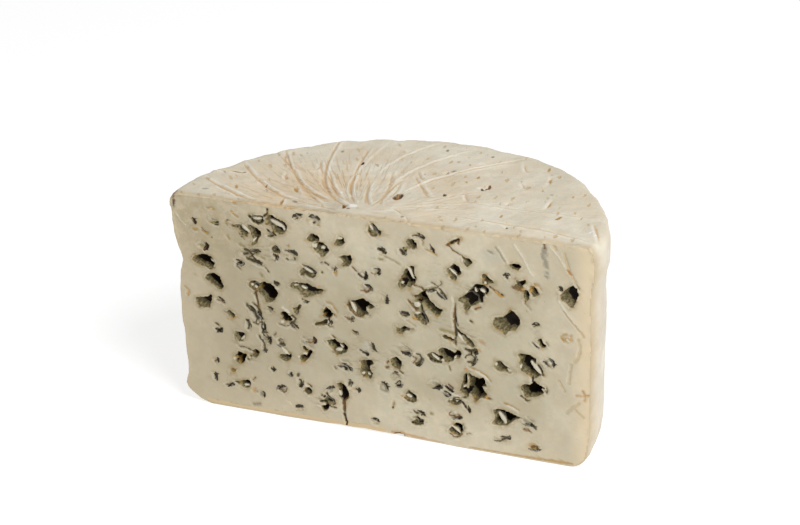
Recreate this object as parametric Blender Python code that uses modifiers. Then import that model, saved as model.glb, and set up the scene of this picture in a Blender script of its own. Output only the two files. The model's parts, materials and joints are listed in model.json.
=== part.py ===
"""Half a wheel of blue cheese, resting on its base.

A wheel is turned, its rind is made uneven, it is cut through the middle, and its caves are taken out.
X runs along the cut, the cut face looks along -Y and Z is up. Sizes are in metres. The tables of
caves, needle holes and dents are in millimetres.
"""

import math
import random

import bmesh
import bpy
from mathutils import Matrix, Vector, noise

MM = 0.001

# The wheel
WHEEL_RADIUS = 0.095
WHEEL_HEIGHT = 0.102
TOP_ROUNDING = 0.0045
BASE_ROUNDING = 0.014
TOP_RINGS = (0.0, 0.3, 0.6, 0.8)
TOP_ROUNDING_STEPS = 4
BASE_ROUNDING_STEPS = 6
SIDE_STEPS = 8
SIDE_CROWDING = 1.5  # above 1, the side's rings lie closer together under the top
TURN_STEPS = 120
MERGE_DISTANCE = 1e-5

# The rind's unevenness
LIP_HEIGHT = 0.091
LIP_SPREAD = 0.008
LIP_SWELL = 0.0018
WAIST_HEIGHT = 0.073
WAIST_SPREAD = 0.006
WAIST_DEPTH = 0.0012
WAIST_ANGLE = 180
WAIST_REACH = 35
CORNER_WEAR = 0.0018
CORNER_REACH = 2.2
RIND_WAVE = 0.0011
RIND_WAVE_LENGTH = 0.045
TOP_WAVE = 0.0005
TOP_WAVE_LENGTH = 0.030
FLAT_BASE = 0.012

# Worn places in the top rim: the angle round the wheel and half the width in degrees, and the depth
RIM_NOTCHES = (
    (143, 2.6, 0.0022),
    (131, 3.4, 0.0014),
    (117, 2.4, 0.0022),
    (106, 2.6, 0.0016),
    (74, 4.0, 0.0010),
    (38, 3.0, 0.0009),
)
RIM_NOTCH_BOTTOM = 0.090

# Caves in the cut face: x and z of the middle, width, height, lean in degrees, and depth, in millimetres
CAVES = (
    (-82.0, 71.0, 8.0, 5.8, -20, 6.0),
    (-86.0, 71.8, 5.0, 3.4, 12, 2.0),
    (-78.2, 62.0, 9.5, 5.6, -40, 6.5),
    (-84.5, 50.8, 7.5, 6.2, 8, 3.5),
    (-64.5, 88.9, 11.0, 2.6, -25, 1.6),
    (-56.8, 88.0, 5.5, 6.0, -50, 4.0),
    (-62.0, 77.4, 8.5, 3.6, -8, 1.8),
    (-57.0, 74.0, 9.0, 3.0, -18, 2.0),
    (-45.5, 93.4, 10.5, 6.0, -22, 3.2),
    (-46.8, 90.3, 5.5, 2.6, -10, 2.8),
    (-29.3, 89.3, 5.6, 3.2, 15, 2.5),
    (-25.7, 85.0, 7.6, 6.2, 0, 2.4),
    (-32.6, 73.1, 8.4, 4.2, -18, 2.2),
    (-34.0, 64.0, 12.5, 5.0, -10, 2.2),
    (-52.8, 60.4, 9.5, 7.8, -40, 8.0),
    (-58.4, 62.2, 5.5, 4.5, -10, 2.0),
    (-44.4, 49.8, 6.8, 4.8, -15, 6.0),
    (-24.7, 54.8, 5.4, 5.0, 40, 6.0),
    (-34.2, 33.8, 4.0, 3.4, 20, 5.0),
    (-36.8, 31.2, 5.6, 3.2, 18, 5.0),
    (-46.0, 31.4, 7.0, 5.0, -38, 2.6),
    (-68.4, 26.2, 6.2, 5.6, 35, 6.0),
    (-61.3, 29.2, 3.6, 4.0, 50, 2.2),
    (-67.0, 13.2, 5.2, 3.6, 0, 2.6),
    (-36.0, 16.0, 4.0, 5.0, 0, 1.8),
    (-28.2, 8.8, 5.2, 4.6, -10, 4.0),
    (-26.8, 12.6, 6.5, 3.4, -35, 2.2),
    (-18.7, 17.6, 4.6, 7.4, 5, 5.0),
    (-20.6, 39.2, 10.0, 6.4, -12, 4.2),
    (-7.4, 31.0, 5.8, 8.6, -8, 3.2),
    (6.7, 36.3, 5.0, 5.4, 0, 3.0),
    (13.0, 20.8, 7.0, 4.4, -18, 1.8),
    (16.4, 10.0, 4.6, 5.4, 20, 1.6),
    (-1.3, 97.0, 6.0, 4.6, -25, 1.5),
    (-17.2, 90.0, 5.2, 4.2, 10, 3.0),
    (-14.4, 82.0, 5.0, 3.4, 5, 3.0),
    (10.5, 52.6, 8.4, 2.4, 8, 1.8),
    (-9.2, 60.2, 9.6, 6.2, -12, 7.5),
    (-4.3, 62.0, 5.6, 2.4, -18, 3.0),
    (13.4, 77.2, 8.6, 4.2, -65, 6.0),
    (10.9, 74.0, 3.8, 3.6, 0, 2.4),
    (19.4, 69.2, 8.0, 4.6, -28, 7.5),
    (25.0, 64.4, 8.0, 4.6, -40, 4.0),
    (17.9, 64.6, 4.4, 4.6, 0, 2.5),
    (16.2, 93.2, 5.4, 4.6, -30, 2.2),
    (34.4, 96.7, 7.0, 1.6, 28, 1.8),
    (40.1, 88.3, 4.0, 3.6, -20, 2.0),
    (34.2, 82.9, 7.6, 6.2, -45, 3.4),
    (49.4, 81.8, 5.2, 2.4, -35, 2.2),
    (45.4, 75.9, 7.8, 4.8, -12, 2.4),
    (41.6, 71.8, 10.0, 5.2, 4, 5.0),
    (39.8, 67.6, 2.6, 4.2, -15, 3.0),
    (31.0, 51.9, 5.4, 1.9, -18, 3.5),
    (39.4, 53.4, 8.5, 2.8, -45, 2.4),
    (31.0, 43.8, 10.0, 5.4, -8, 5.0),
    (35.8, 45.2, 2.8, 4.4, 15, 4.0),
    (25.0, 41.6, 7.0, 4.0, -28, 2.0),
    (43.2, 32.0, 9.4, 8.6, -25, 9.0),
    (46.0, 28.2, 4.8, 4.6, 0, 6.5),
    (42.2, 26.4, 4.6, 4.6, 30, 5.0),
    (38.4, 31.6, 9.0, 2.8, 78, 4.0),
    (34.0, 22.2, 6.4, 2.6, -5, 2.4),
    (34.0, 8.6, 7.6, 6.2, -42, 4.0),
    (54.0, 42.4, 4.8, 4.0, -10, 3.0),
    (66.0, 48.5, 8.0, 2.8, -5, 5.0),
    (67.2, 43.6, 10.0, 5.2, -42, 6.0),
    (68.6, 33.4, 10.8, 6.8, 0, 7.5),
    (56.8, 18.4, 10.6, 5.6, -8, 5.0),
    (61.0, 89.0, 5.0, 1.9, 4, 3.6),
    (62.8, 81.0, 6.0, 2.4, 32, 2.2),
    (65.8, 77.2, 3.0, 4.6, 10, 2.0),
    (69.3, 79.3, 3.4, 3.8, 20, 2.0),
    (84.8, 79.2, 9.8, 7.0, 72, 7.0),
    (58.6, 63.4, 9.0, 7.6, 40, 6.5),
    (54.0, 61.8, 5.4, 5.6, 0, 2.2),
    (71.4, 55.4, 6.4, 3.2, -40, 3.0),
)
CAVE_SEED = 41
CAVE_UNEVEN = 0.17
CAVE_SINK = 0.25
LARGE_CAVE = 66.0

# Needle holes that the cut has opened: x and z of both ends and the radius, in millimetres
NEEDLE_HOLES = (
    (-58.8, 60.0, -56.2, 40.0, 0.7),
    (-18.7, 15.0, -18.0, 1.0, 0.7),
    (34.2, 68.0, 34.6, 53.0, 0.7),
)
NEEDLE_SIDES = 8

# Dents in the top: x, distance behind the cut, width, length and depth, in millimetres
TOP_DENTS = (
    (-30, 56, 4.0, 3.0, 1.2),
    (0, 24.5, 3.2, 5.0, 1.4),
    (18, 33, 3.0, 2.6, 1.0),
    (32, 45, 4.4, 4.0, 1.2),
    (-18, 9, 5.0, 3.0, 1.0),
    (10, 57, 3.0, 4.4, 1.0),
    (47, 32, 2.6, 2.2, 0.9),
    (-55, 32, 3.2, 2.4, 0.9),
    (-80, 30, 8.0, 1.8, 0.9),
    (54, 8.5, 3.0, 2.2, 0.9),
)


def new_object(name, mesh, collection):
    made = bpy.data.objects.new(name, mesh)
    collection.objects.link(made)
    return made


def new_collection(name):
    collection = bpy.data.collections.new(name)
    bpy.context.scene.collection.children.link(collection)
    return collection


def bell(distance, spread):
    """1 at the middle, falling smoothly to nothing over about twice the spread."""
    return math.exp(-((distance / spread) ** 2))


def quarter_round(rounding, height, start, steps):
    """Profile points of a rounded edge, centred at a height, going down a quarter turn from an angle."""
    points = []
    for step in range(steps + 1):
        angle = math.radians(start - 90 * step / steps)
        radius = WHEEL_RADIUS - rounding + rounding * math.cos(angle)
        points.append((radius, height + rounding * math.sin(angle)))
    return points


def wheel_profile():
    """Radius and height of each point, from the middle of the top down the outside to the base."""
    shoulder = quarter_round(TOP_ROUNDING, WHEEL_HEIGHT - TOP_ROUNDING, 90, TOP_ROUNDING_STEPS)
    foot = quarter_round(BASE_ROUNDING, BASE_ROUNDING, 0, BASE_ROUNDING_STEPS)
    points = [(ring * WHEEL_RADIUS, WHEEL_HEIGHT) for ring in TOP_RINGS]
    points += shoulder
    side = shoulder[-1][1] - foot[0][1]
    for step in range(1, SIDE_STEPS):
        drop = side * (step / SIDE_STEPS) ** SIDE_CROWDING
        points.append((WHEEL_RADIUS, shoulder[-1][1] - drop))
    points += foot
    points.append((0.0, 0.0))
    return points


def turned_wheel():
    """The mesh of a whole, even wheel."""
    points = wheel_profile()
    profile = bpy.data.meshes.new("profile")
    edges = [(index, index + 1) for index in range(len(points) - 1)]
    profile.from_pydata([(radius, 0, height) for radius, height in points], edges, [])
    turned = new_object("turned", profile, bpy.context.scene.collection)
    screw = turned.modifiers.new("turn", "SCREW")
    screw.axis = "Z"
    screw.angle = 2 * math.pi
    screw.steps = TURN_STEPS
    screw.render_steps = TURN_STEPS
    screw.use_merge_vertices = True
    screw.merge_threshold = MERGE_DISTANCE
    graph = bpy.context.evaluated_depsgraph_get()
    mesh = bpy.data.meshes.new_from_object(turned.evaluated_get(graph))
    bpy.data.objects.remove(turned)
    return mesh


def rind_swell(point, angle):
    """How far the rind stands out at a point: a lip under the top, a waist below it, and slow waves."""
    lip = LIP_SWELL * bell(point.z - LIP_HEIGHT, LIP_SPREAD)
    waist = WAIST_DEPTH * bell(point.z - WAIST_HEIGHT, WAIST_SPREAD) * bell(angle - WAIST_ANGLE, WAIST_REACH)
    wave = RIND_WAVE * noise.noise(point / RIND_WAVE_LENGTH)
    worn = CORNER_WEAR * bell(angle, CORNER_REACH)
    if point.z > RIM_NOTCH_BOTTOM:
        worn += sum(depth * bell(angle - middle, half) for middle, half, depth in RIM_NOTCHES)
    return lip - waist + wave - worn


def make_uneven(mesh):
    """Move the even wheel's points to where the rind has swollen, sagged and worn."""
    for vertex in mesh.vertices:
        point = vertex.co.copy()
        radius = math.hypot(point.x, point.y)
        if radius < MERGE_DISTANCE:
            continue
        above_base = min(1.0, point.z / FLAT_BASE)
        near_rind = (radius / WHEEL_RADIUS) ** 8
        angle = math.degrees(math.atan2(point.y, point.x))
        outward = Vector((point.x / radius, point.y / radius, 0))
        vertex.co += outward * rind_swell(point, angle) * near_rind * above_base
        top_wave = TOP_WAVE * noise.noise(point / TOP_WAVE_LENGTH)
        vertex.co.z += top_wave * point.z / WHEEL_HEIGHT * above_base


def half_cutter(collection):
    """A block in front of the cut plane, larger than the half wheel that it takes away."""
    mesh = bpy.data.meshes.new("half_cutter")
    block = bmesh.new()
    bmesh.ops.create_cube(block, size=1)
    bmesh.ops.translate(block, verts=block.verts, vec=(0, -0.5, 0.5))
    bmesh.ops.scale(block, verts=block.verts, vec=(3 * WHEEL_RADIUS, 2 * WHEEL_RADIUS, 2 * WHEEL_HEIGHT))
    bmesh.ops.translate(block, verts=block.verts, vec=(0, 0, -WHEEL_HEIGHT / 2))
    block.to_mesh(mesh)
    block.free()
    return new_object("half_cutter", mesh, collection)


def cave_cutter(number, row, collection):
    """A rough stone-like lump centred a little behind the cut face."""
    x, z, width, height, lean, depth = row
    draw = random.Random(CAVE_SEED + number)
    lump = bmesh.new()
    bmesh.ops.create_icosphere(lump, subdivisions=2, radius=1)
    for vertex in lump.verts:
        vertex.co *= draw.uniform(1 - CAVE_UNEVEN, 1 + CAVE_UNEVEN)
    if width * height > LARGE_CAVE:
        bmesh.ops.subdivide_edges(lump, edges=lump.edges, cuts=1, use_grid_fill=True, smooth=0.4)
    reach = depth / (1 + CAVE_SINK)
    bmesh.ops.scale(lump, verts=lump.verts, vec=Vector((width / 2, reach, height / 2)) * MM)
    bmesh.ops.rotate(lump, verts=lump.verts, matrix=Matrix.Rotation(-math.radians(lean), 3, "Y"))
    bmesh.ops.translate(lump, verts=lump.verts, vec=Vector((x, CAVE_SINK * reach, z)) * MM)
    mesh = bpy.data.meshes.new(f"cave_{number:02d}")
    lump.to_mesh(mesh)
    lump.free()
    return new_object(mesh.name, mesh, collection)


def needle_cutter(number, row, collection):
    """A thin rod along the cut plane, from one end of a needle hole to the other."""
    start_x, start_z, end_x, end_z, radius = row
    start = Vector((start_x, 0, start_z)) * MM
    end = Vector((end_x, 0, end_z)) * MM
    along = end - start
    rod = bmesh.new()
    bmesh.ops.create_cone(
        rod,
        cap_ends=True,
        segments=NEEDLE_SIDES,
        radius1=radius * MM,
        radius2=radius * MM,
        depth=along.length,
    )
    turn = along.to_track_quat("Z", "Y").to_matrix()
    bmesh.ops.rotate(rod, verts=rod.verts, matrix=turn)
    bmesh.ops.translate(rod, verts=rod.verts, vec=(start + end) / 2)
    mesh = bpy.data.meshes.new(f"needle_{number}")
    rod.to_mesh(mesh)
    rod.free()
    return new_object(mesh.name, mesh, collection)


def dent_cutter(number, row, collection):
    """A shallow lump centred in the top."""
    x, behind, width, length, depth = row
    draw = random.Random(CAVE_SEED - number - 1)
    lump = bmesh.new()
    bmesh.ops.create_icosphere(lump, subdivisions=2, radius=1)
    for vertex in lump.verts:
        vertex.co *= draw.uniform(1 - CAVE_UNEVEN, 1 + CAVE_UNEVEN)
    bmesh.ops.scale(lump, verts=lump.verts, vec=Vector((width / 2, length / 2, depth)) * MM)
    bmesh.ops.translate(lump, verts=lump.verts, vec=Vector((x, behind, WHEEL_HEIGHT / MM)) * MM)
    mesh = bpy.data.meshes.new(f"dent_{number}")
    lump.to_mesh(mesh)
    lump.free()
    return new_object(mesh.name, mesh, collection)


def paste_material():
    material = bpy.data.materials.new("cheese_paste")
    material.use_nodes = True
    shader = material.node_tree.nodes["Principled BSDF"]
    shader.inputs["Base Color"].default_value = (0.62, 0.55, 0.40, 1)
    shader.inputs["Roughness"].default_value = 0.5
    shader.inputs["Metallic"].default_value = 0
    return material


def cut(target, name, solver, cutter=None, collection=None):
    """A Boolean modifier that takes one cutter, or all of a collection's, out of the target."""
    modifier = target.modifiers.new(name, "BOOLEAN")
    modifier.operation = "DIFFERENCE"
    modifier.solver = solver
    if collection:
        modifier.operand_type = "COLLECTION"
        modifier.collection = collection
    else:
        modifier.object = cutter


def hide_cutters(collection):
    for cutter in collection.objects:
        cutter.hide_render = True
        cutter.display_type = "WIRE"


def main():
    for leftover in list(bpy.data.objects):
        bpy.data.objects.remove(leftover)

    parts = new_collection("blue_cheese_half_wheel")
    blocks = new_collection("cut_block")
    caves = new_collection("cave_cutters")

    wheel = turned_wheel()
    wheel.name = "cheese"
    make_uneven(wheel)
    wheel.materials.append(paste_material())
    cheese = new_object("cheese", wheel, parts)

    cut(cheese, "halve", "EXACT", cutter=half_cutter(blocks))
    for number, row in enumerate(CAVES):
        cave_cutter(number, row, caves)
    for number, row in enumerate(NEEDLE_HOLES):
        needle_cutter(number, row, caves)
    for number, row in enumerate(TOP_DENTS):
        dent_cutter(number, row, caves)
    cut(cheese, "open_caves", "EXACT", collection=caves)
    hide_cutters(blocks)
    hide_cutters(caves)

    # The half wheel stands with the middle of its own box on the origin
    half = [vertex.co for vertex in wheel.vertices if vertex.co.y >= 0]
    middle_x = (min(co.x for co in half) + max(co.x for co in half)) / 2
    middle_y = max(co.y for co in half) / 2
    carrier = new_object("half_wheel", None, parts)
    carrier.location = (-middle_x, -middle_y, 0)
    for placed in [cheese, *blocks.objects, *caves.objects]:
        placed.parent = carrier


main()
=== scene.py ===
import json
import math
import random

import bmesh
import bpy
from mathutils import Matrix, Vector, noise
from mathutils.bvhtree import BVHTree
from mathutils.kdtree import KDTree

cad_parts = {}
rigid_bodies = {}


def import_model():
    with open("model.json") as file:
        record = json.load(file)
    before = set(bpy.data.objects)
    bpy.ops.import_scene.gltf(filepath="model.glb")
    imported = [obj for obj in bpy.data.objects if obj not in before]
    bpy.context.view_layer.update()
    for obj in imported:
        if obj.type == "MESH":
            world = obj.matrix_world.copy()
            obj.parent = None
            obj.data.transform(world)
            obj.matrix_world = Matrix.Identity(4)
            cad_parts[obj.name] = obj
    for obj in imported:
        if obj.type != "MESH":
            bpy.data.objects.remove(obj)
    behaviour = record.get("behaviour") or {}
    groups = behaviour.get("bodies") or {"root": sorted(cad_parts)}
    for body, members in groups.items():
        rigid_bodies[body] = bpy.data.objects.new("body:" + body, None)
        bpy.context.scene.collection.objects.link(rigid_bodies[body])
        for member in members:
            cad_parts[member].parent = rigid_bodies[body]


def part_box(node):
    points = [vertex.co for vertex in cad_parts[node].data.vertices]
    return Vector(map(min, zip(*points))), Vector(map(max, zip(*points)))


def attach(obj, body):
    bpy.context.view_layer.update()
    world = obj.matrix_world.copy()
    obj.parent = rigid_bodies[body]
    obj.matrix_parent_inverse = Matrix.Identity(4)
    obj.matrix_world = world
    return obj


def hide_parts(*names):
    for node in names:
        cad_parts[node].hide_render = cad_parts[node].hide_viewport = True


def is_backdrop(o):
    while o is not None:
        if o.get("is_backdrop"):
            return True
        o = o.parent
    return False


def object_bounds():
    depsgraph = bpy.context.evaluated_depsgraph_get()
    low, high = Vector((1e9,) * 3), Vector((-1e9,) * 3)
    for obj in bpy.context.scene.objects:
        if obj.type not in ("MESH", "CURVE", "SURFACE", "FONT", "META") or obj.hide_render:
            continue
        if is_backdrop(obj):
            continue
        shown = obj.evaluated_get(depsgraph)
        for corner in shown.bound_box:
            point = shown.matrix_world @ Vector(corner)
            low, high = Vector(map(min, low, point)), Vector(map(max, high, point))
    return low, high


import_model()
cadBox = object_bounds()
print("frame loaded")

# The half wheel is shaped in millimetres, with the wheel's axis on Z and the cut face at y = 0,
# and goes into the CAD node's box, in metres, at the end
scene = bpy.context.scene
workshop = bpy.data.collections.new("workshop")
scene.collection.children.link(workshop)


def toolObject(name, shape):
    mesh = bpy.data.meshes.new(name)
    shape.to_mesh(mesh)
    shape.free()
    made = bpy.data.objects.new(name, mesh)
    workshop.objects.link(made)
    return made


def bakeModifiers(made):
    graph = bpy.context.evaluated_depsgraph_get()
    mesh = bpy.data.meshes.new_from_object(made.evaluated_get(graph))
    made.modifiers.clear()
    made.data = mesh


def bell(distance, spread):
    return math.exp(-((distance / spread) ** 2))


def ramp(value, start, end):
    t = min(1.0, max(0.0, (value - start) / (end - start)))
    return t * t * (3 - 2 * t)


def flatTree(points):
    tree = KDTree(len(points))
    for index, across, up in points:
        tree.insert((across, up, 0), index)
    tree.balance()
    return tree


# The wheel
wheel = {
    "radius": 95.0,
    "height": 102.0,
    "topRounding": 3.8,
    "baseRounding": 11.0,
    "topRings": 19,
    "sideRings": 40,
    "roundSteps": 8,
    "turnSteps": 180,
    "lip": (91.0, 8.0, 1.8),           # height, spread, swell
    "waists": [                        # turn and spread in degrees, height, spread, depth
        (180, 35, 70.5, 5.0, 1.5),
        (180, 35, 82.0, 7.0, -0.9),
        (180, 35, 52.0, 24.0, -1.3),
        (180, 30, 6.0, 5.0, -4.5),
        (15, 30, 60.0, 18.0, -1.6),
        (0, 30, 6.0, 5.0, 2.0),
    ],
    "shoulders": [(172, 14, 2.6), (52, 16, 2.6), (120, 30, 0.8)],    # turn, spread, swell
    "shoulderFrom": (92.0, 98.0),
    "cornerWear": (2.2, 1.8),          # spread in degrees, depth
    "rindWave": (45.0, 1.1),           # length, swing
    "topWave": (30.0, 0.5),
    "flatBase": 12.0,
    "notches": [                       # turn and half width in degrees, depth
        (157, 2.2, 1.6),
        (143, 2.6, 1.2),
        (131, 3.4, 1.4),
        (117, 2.4, 2.2),
        (106, 2.6, 1.6),
        (74, 4.0, 1.0),
        (38, 3.0, 0.9),
    ],
    "notchBottom": 90.0,
}


def wheelProfile():
    radius, height = wheel["radius"], wheel["height"]
    top, base, steps = wheel["topRounding"], wheel["baseRounding"], wheel["roundSteps"]
    flat = radius - top
    points = [(flat * ring / wheel["topRings"], height) for ring in range(wheel["topRings"])]
    for step in range(steps + 1):
        angle = math.radians(90 - 90 * step / steps)
        points.append((flat + top * math.cos(angle), height - top + top * math.sin(angle)))
    side = height - top - base
    for step in range(1, wheel["sideRings"]):
        points.append((radius, height - top - side * step / wheel["sideRings"]))
    for step in range(steps + 1):
        angle = math.radians(-90 * step / steps)
        points.append((radius - base + base * math.cos(angle), base + base * math.sin(angle)))
    points.append((0.0, 0.0))
    return points


def rindSwell(point, turn):
    lipHeight, lipSpread, lipSwell = wheel["lip"]
    wearReach, wearDepth = wheel["cornerWear"]
    waveLength, waveSwing = wheel["rindWave"]
    swell = lipSwell * bell(point.z - lipHeight, lipSpread)
    for middle, reach, height, spread, depth in wheel["waists"]:
        swell -= depth * bell(point.z - height, spread) * bell(turn - middle, reach)
    for middle, spread, rise in wheel["shoulders"]:
        swell += rise * bell(turn - middle, spread) * ramp(point.z, *wheel["shoulderFrom"])
    swell += waveSwing * noise.noise(point / waveLength)
    swell -= wearDepth * bell(turn, wearReach)
    if point.z > wheel["notchBottom"]:
        swell -= sum(depth * bell(turn - middle, half) for middle, half, depth in wheel["notches"])
    return swell


def halfShell():
    shape = bmesh.new()
    points = [shape.verts.new((radius, 0, height)) for radius, height in wheelProfile()]
    edges = [shape.edges.new(pair) for pair in zip(points, points[1:])]
    bmesh.ops.spin(shape, geom=points + edges, axis=(0, 0, 1), angle=math.pi, steps=wheel["turnSteps"])
    bmesh.ops.remove_doubles(shape, verts=shape.verts, dist=0.001)
    waveLength, waveSwing = wheel["topWave"]
    for vert in shape.verts:
        point = vert.co.copy()
        radius = math.hypot(point.x, point.y)
        if radius < 0.01:
            continue
        aboveBase = min(1.0, point.z / wheel["flatBase"])
        nearRind = (radius / wheel["radius"]) ** 8
        turn = math.degrees(math.atan2(point.y, point.x))
        outward = Vector((point.x / radius, point.y / radius, 0))
        vert.co += outward * rindSwell(point, turn) * nearRind * aboveBase
        vert.co.z += waveSwing * noise.noise(point / waveLength) * point.z / wheel["height"] * aboveBase
        if abs(point.y) < 0.01:
            vert.co.y = 0
    bmesh.ops.recalc_face_normals(shape, faces=shape.faces)
    return shape


shell = halfShell()
rindTree = BVHTree.FromBMesh(shell)
bmesh.ops.holes_fill(shell, edges=[edge for edge in shell.edges if edge.is_boundary], sides=0)
bmesh.ops.recalc_face_normals(shell, faces=shell.faces)
body = toolObject("body", shell)
print("wheel turned and cut in half")

# The caves
caves = {
    "seed": 41,
    "rings": [(0.0, 1.0), (0.3, 0.95), (0.65, 0.78), (1.0, 0.38)],    # share of the depth, share of the size
    "drift": 0.10,         # how far the floor lies up and to the right, as a share of the size
    "jagged": 0.30,        # how far the fine roughness moves a wall
    "jaggedLength": 1.3,
    "uneven": 0.17,
    "sink": 0.25,          # how far a small one's middle lies in, as a share of its depth
}

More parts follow.
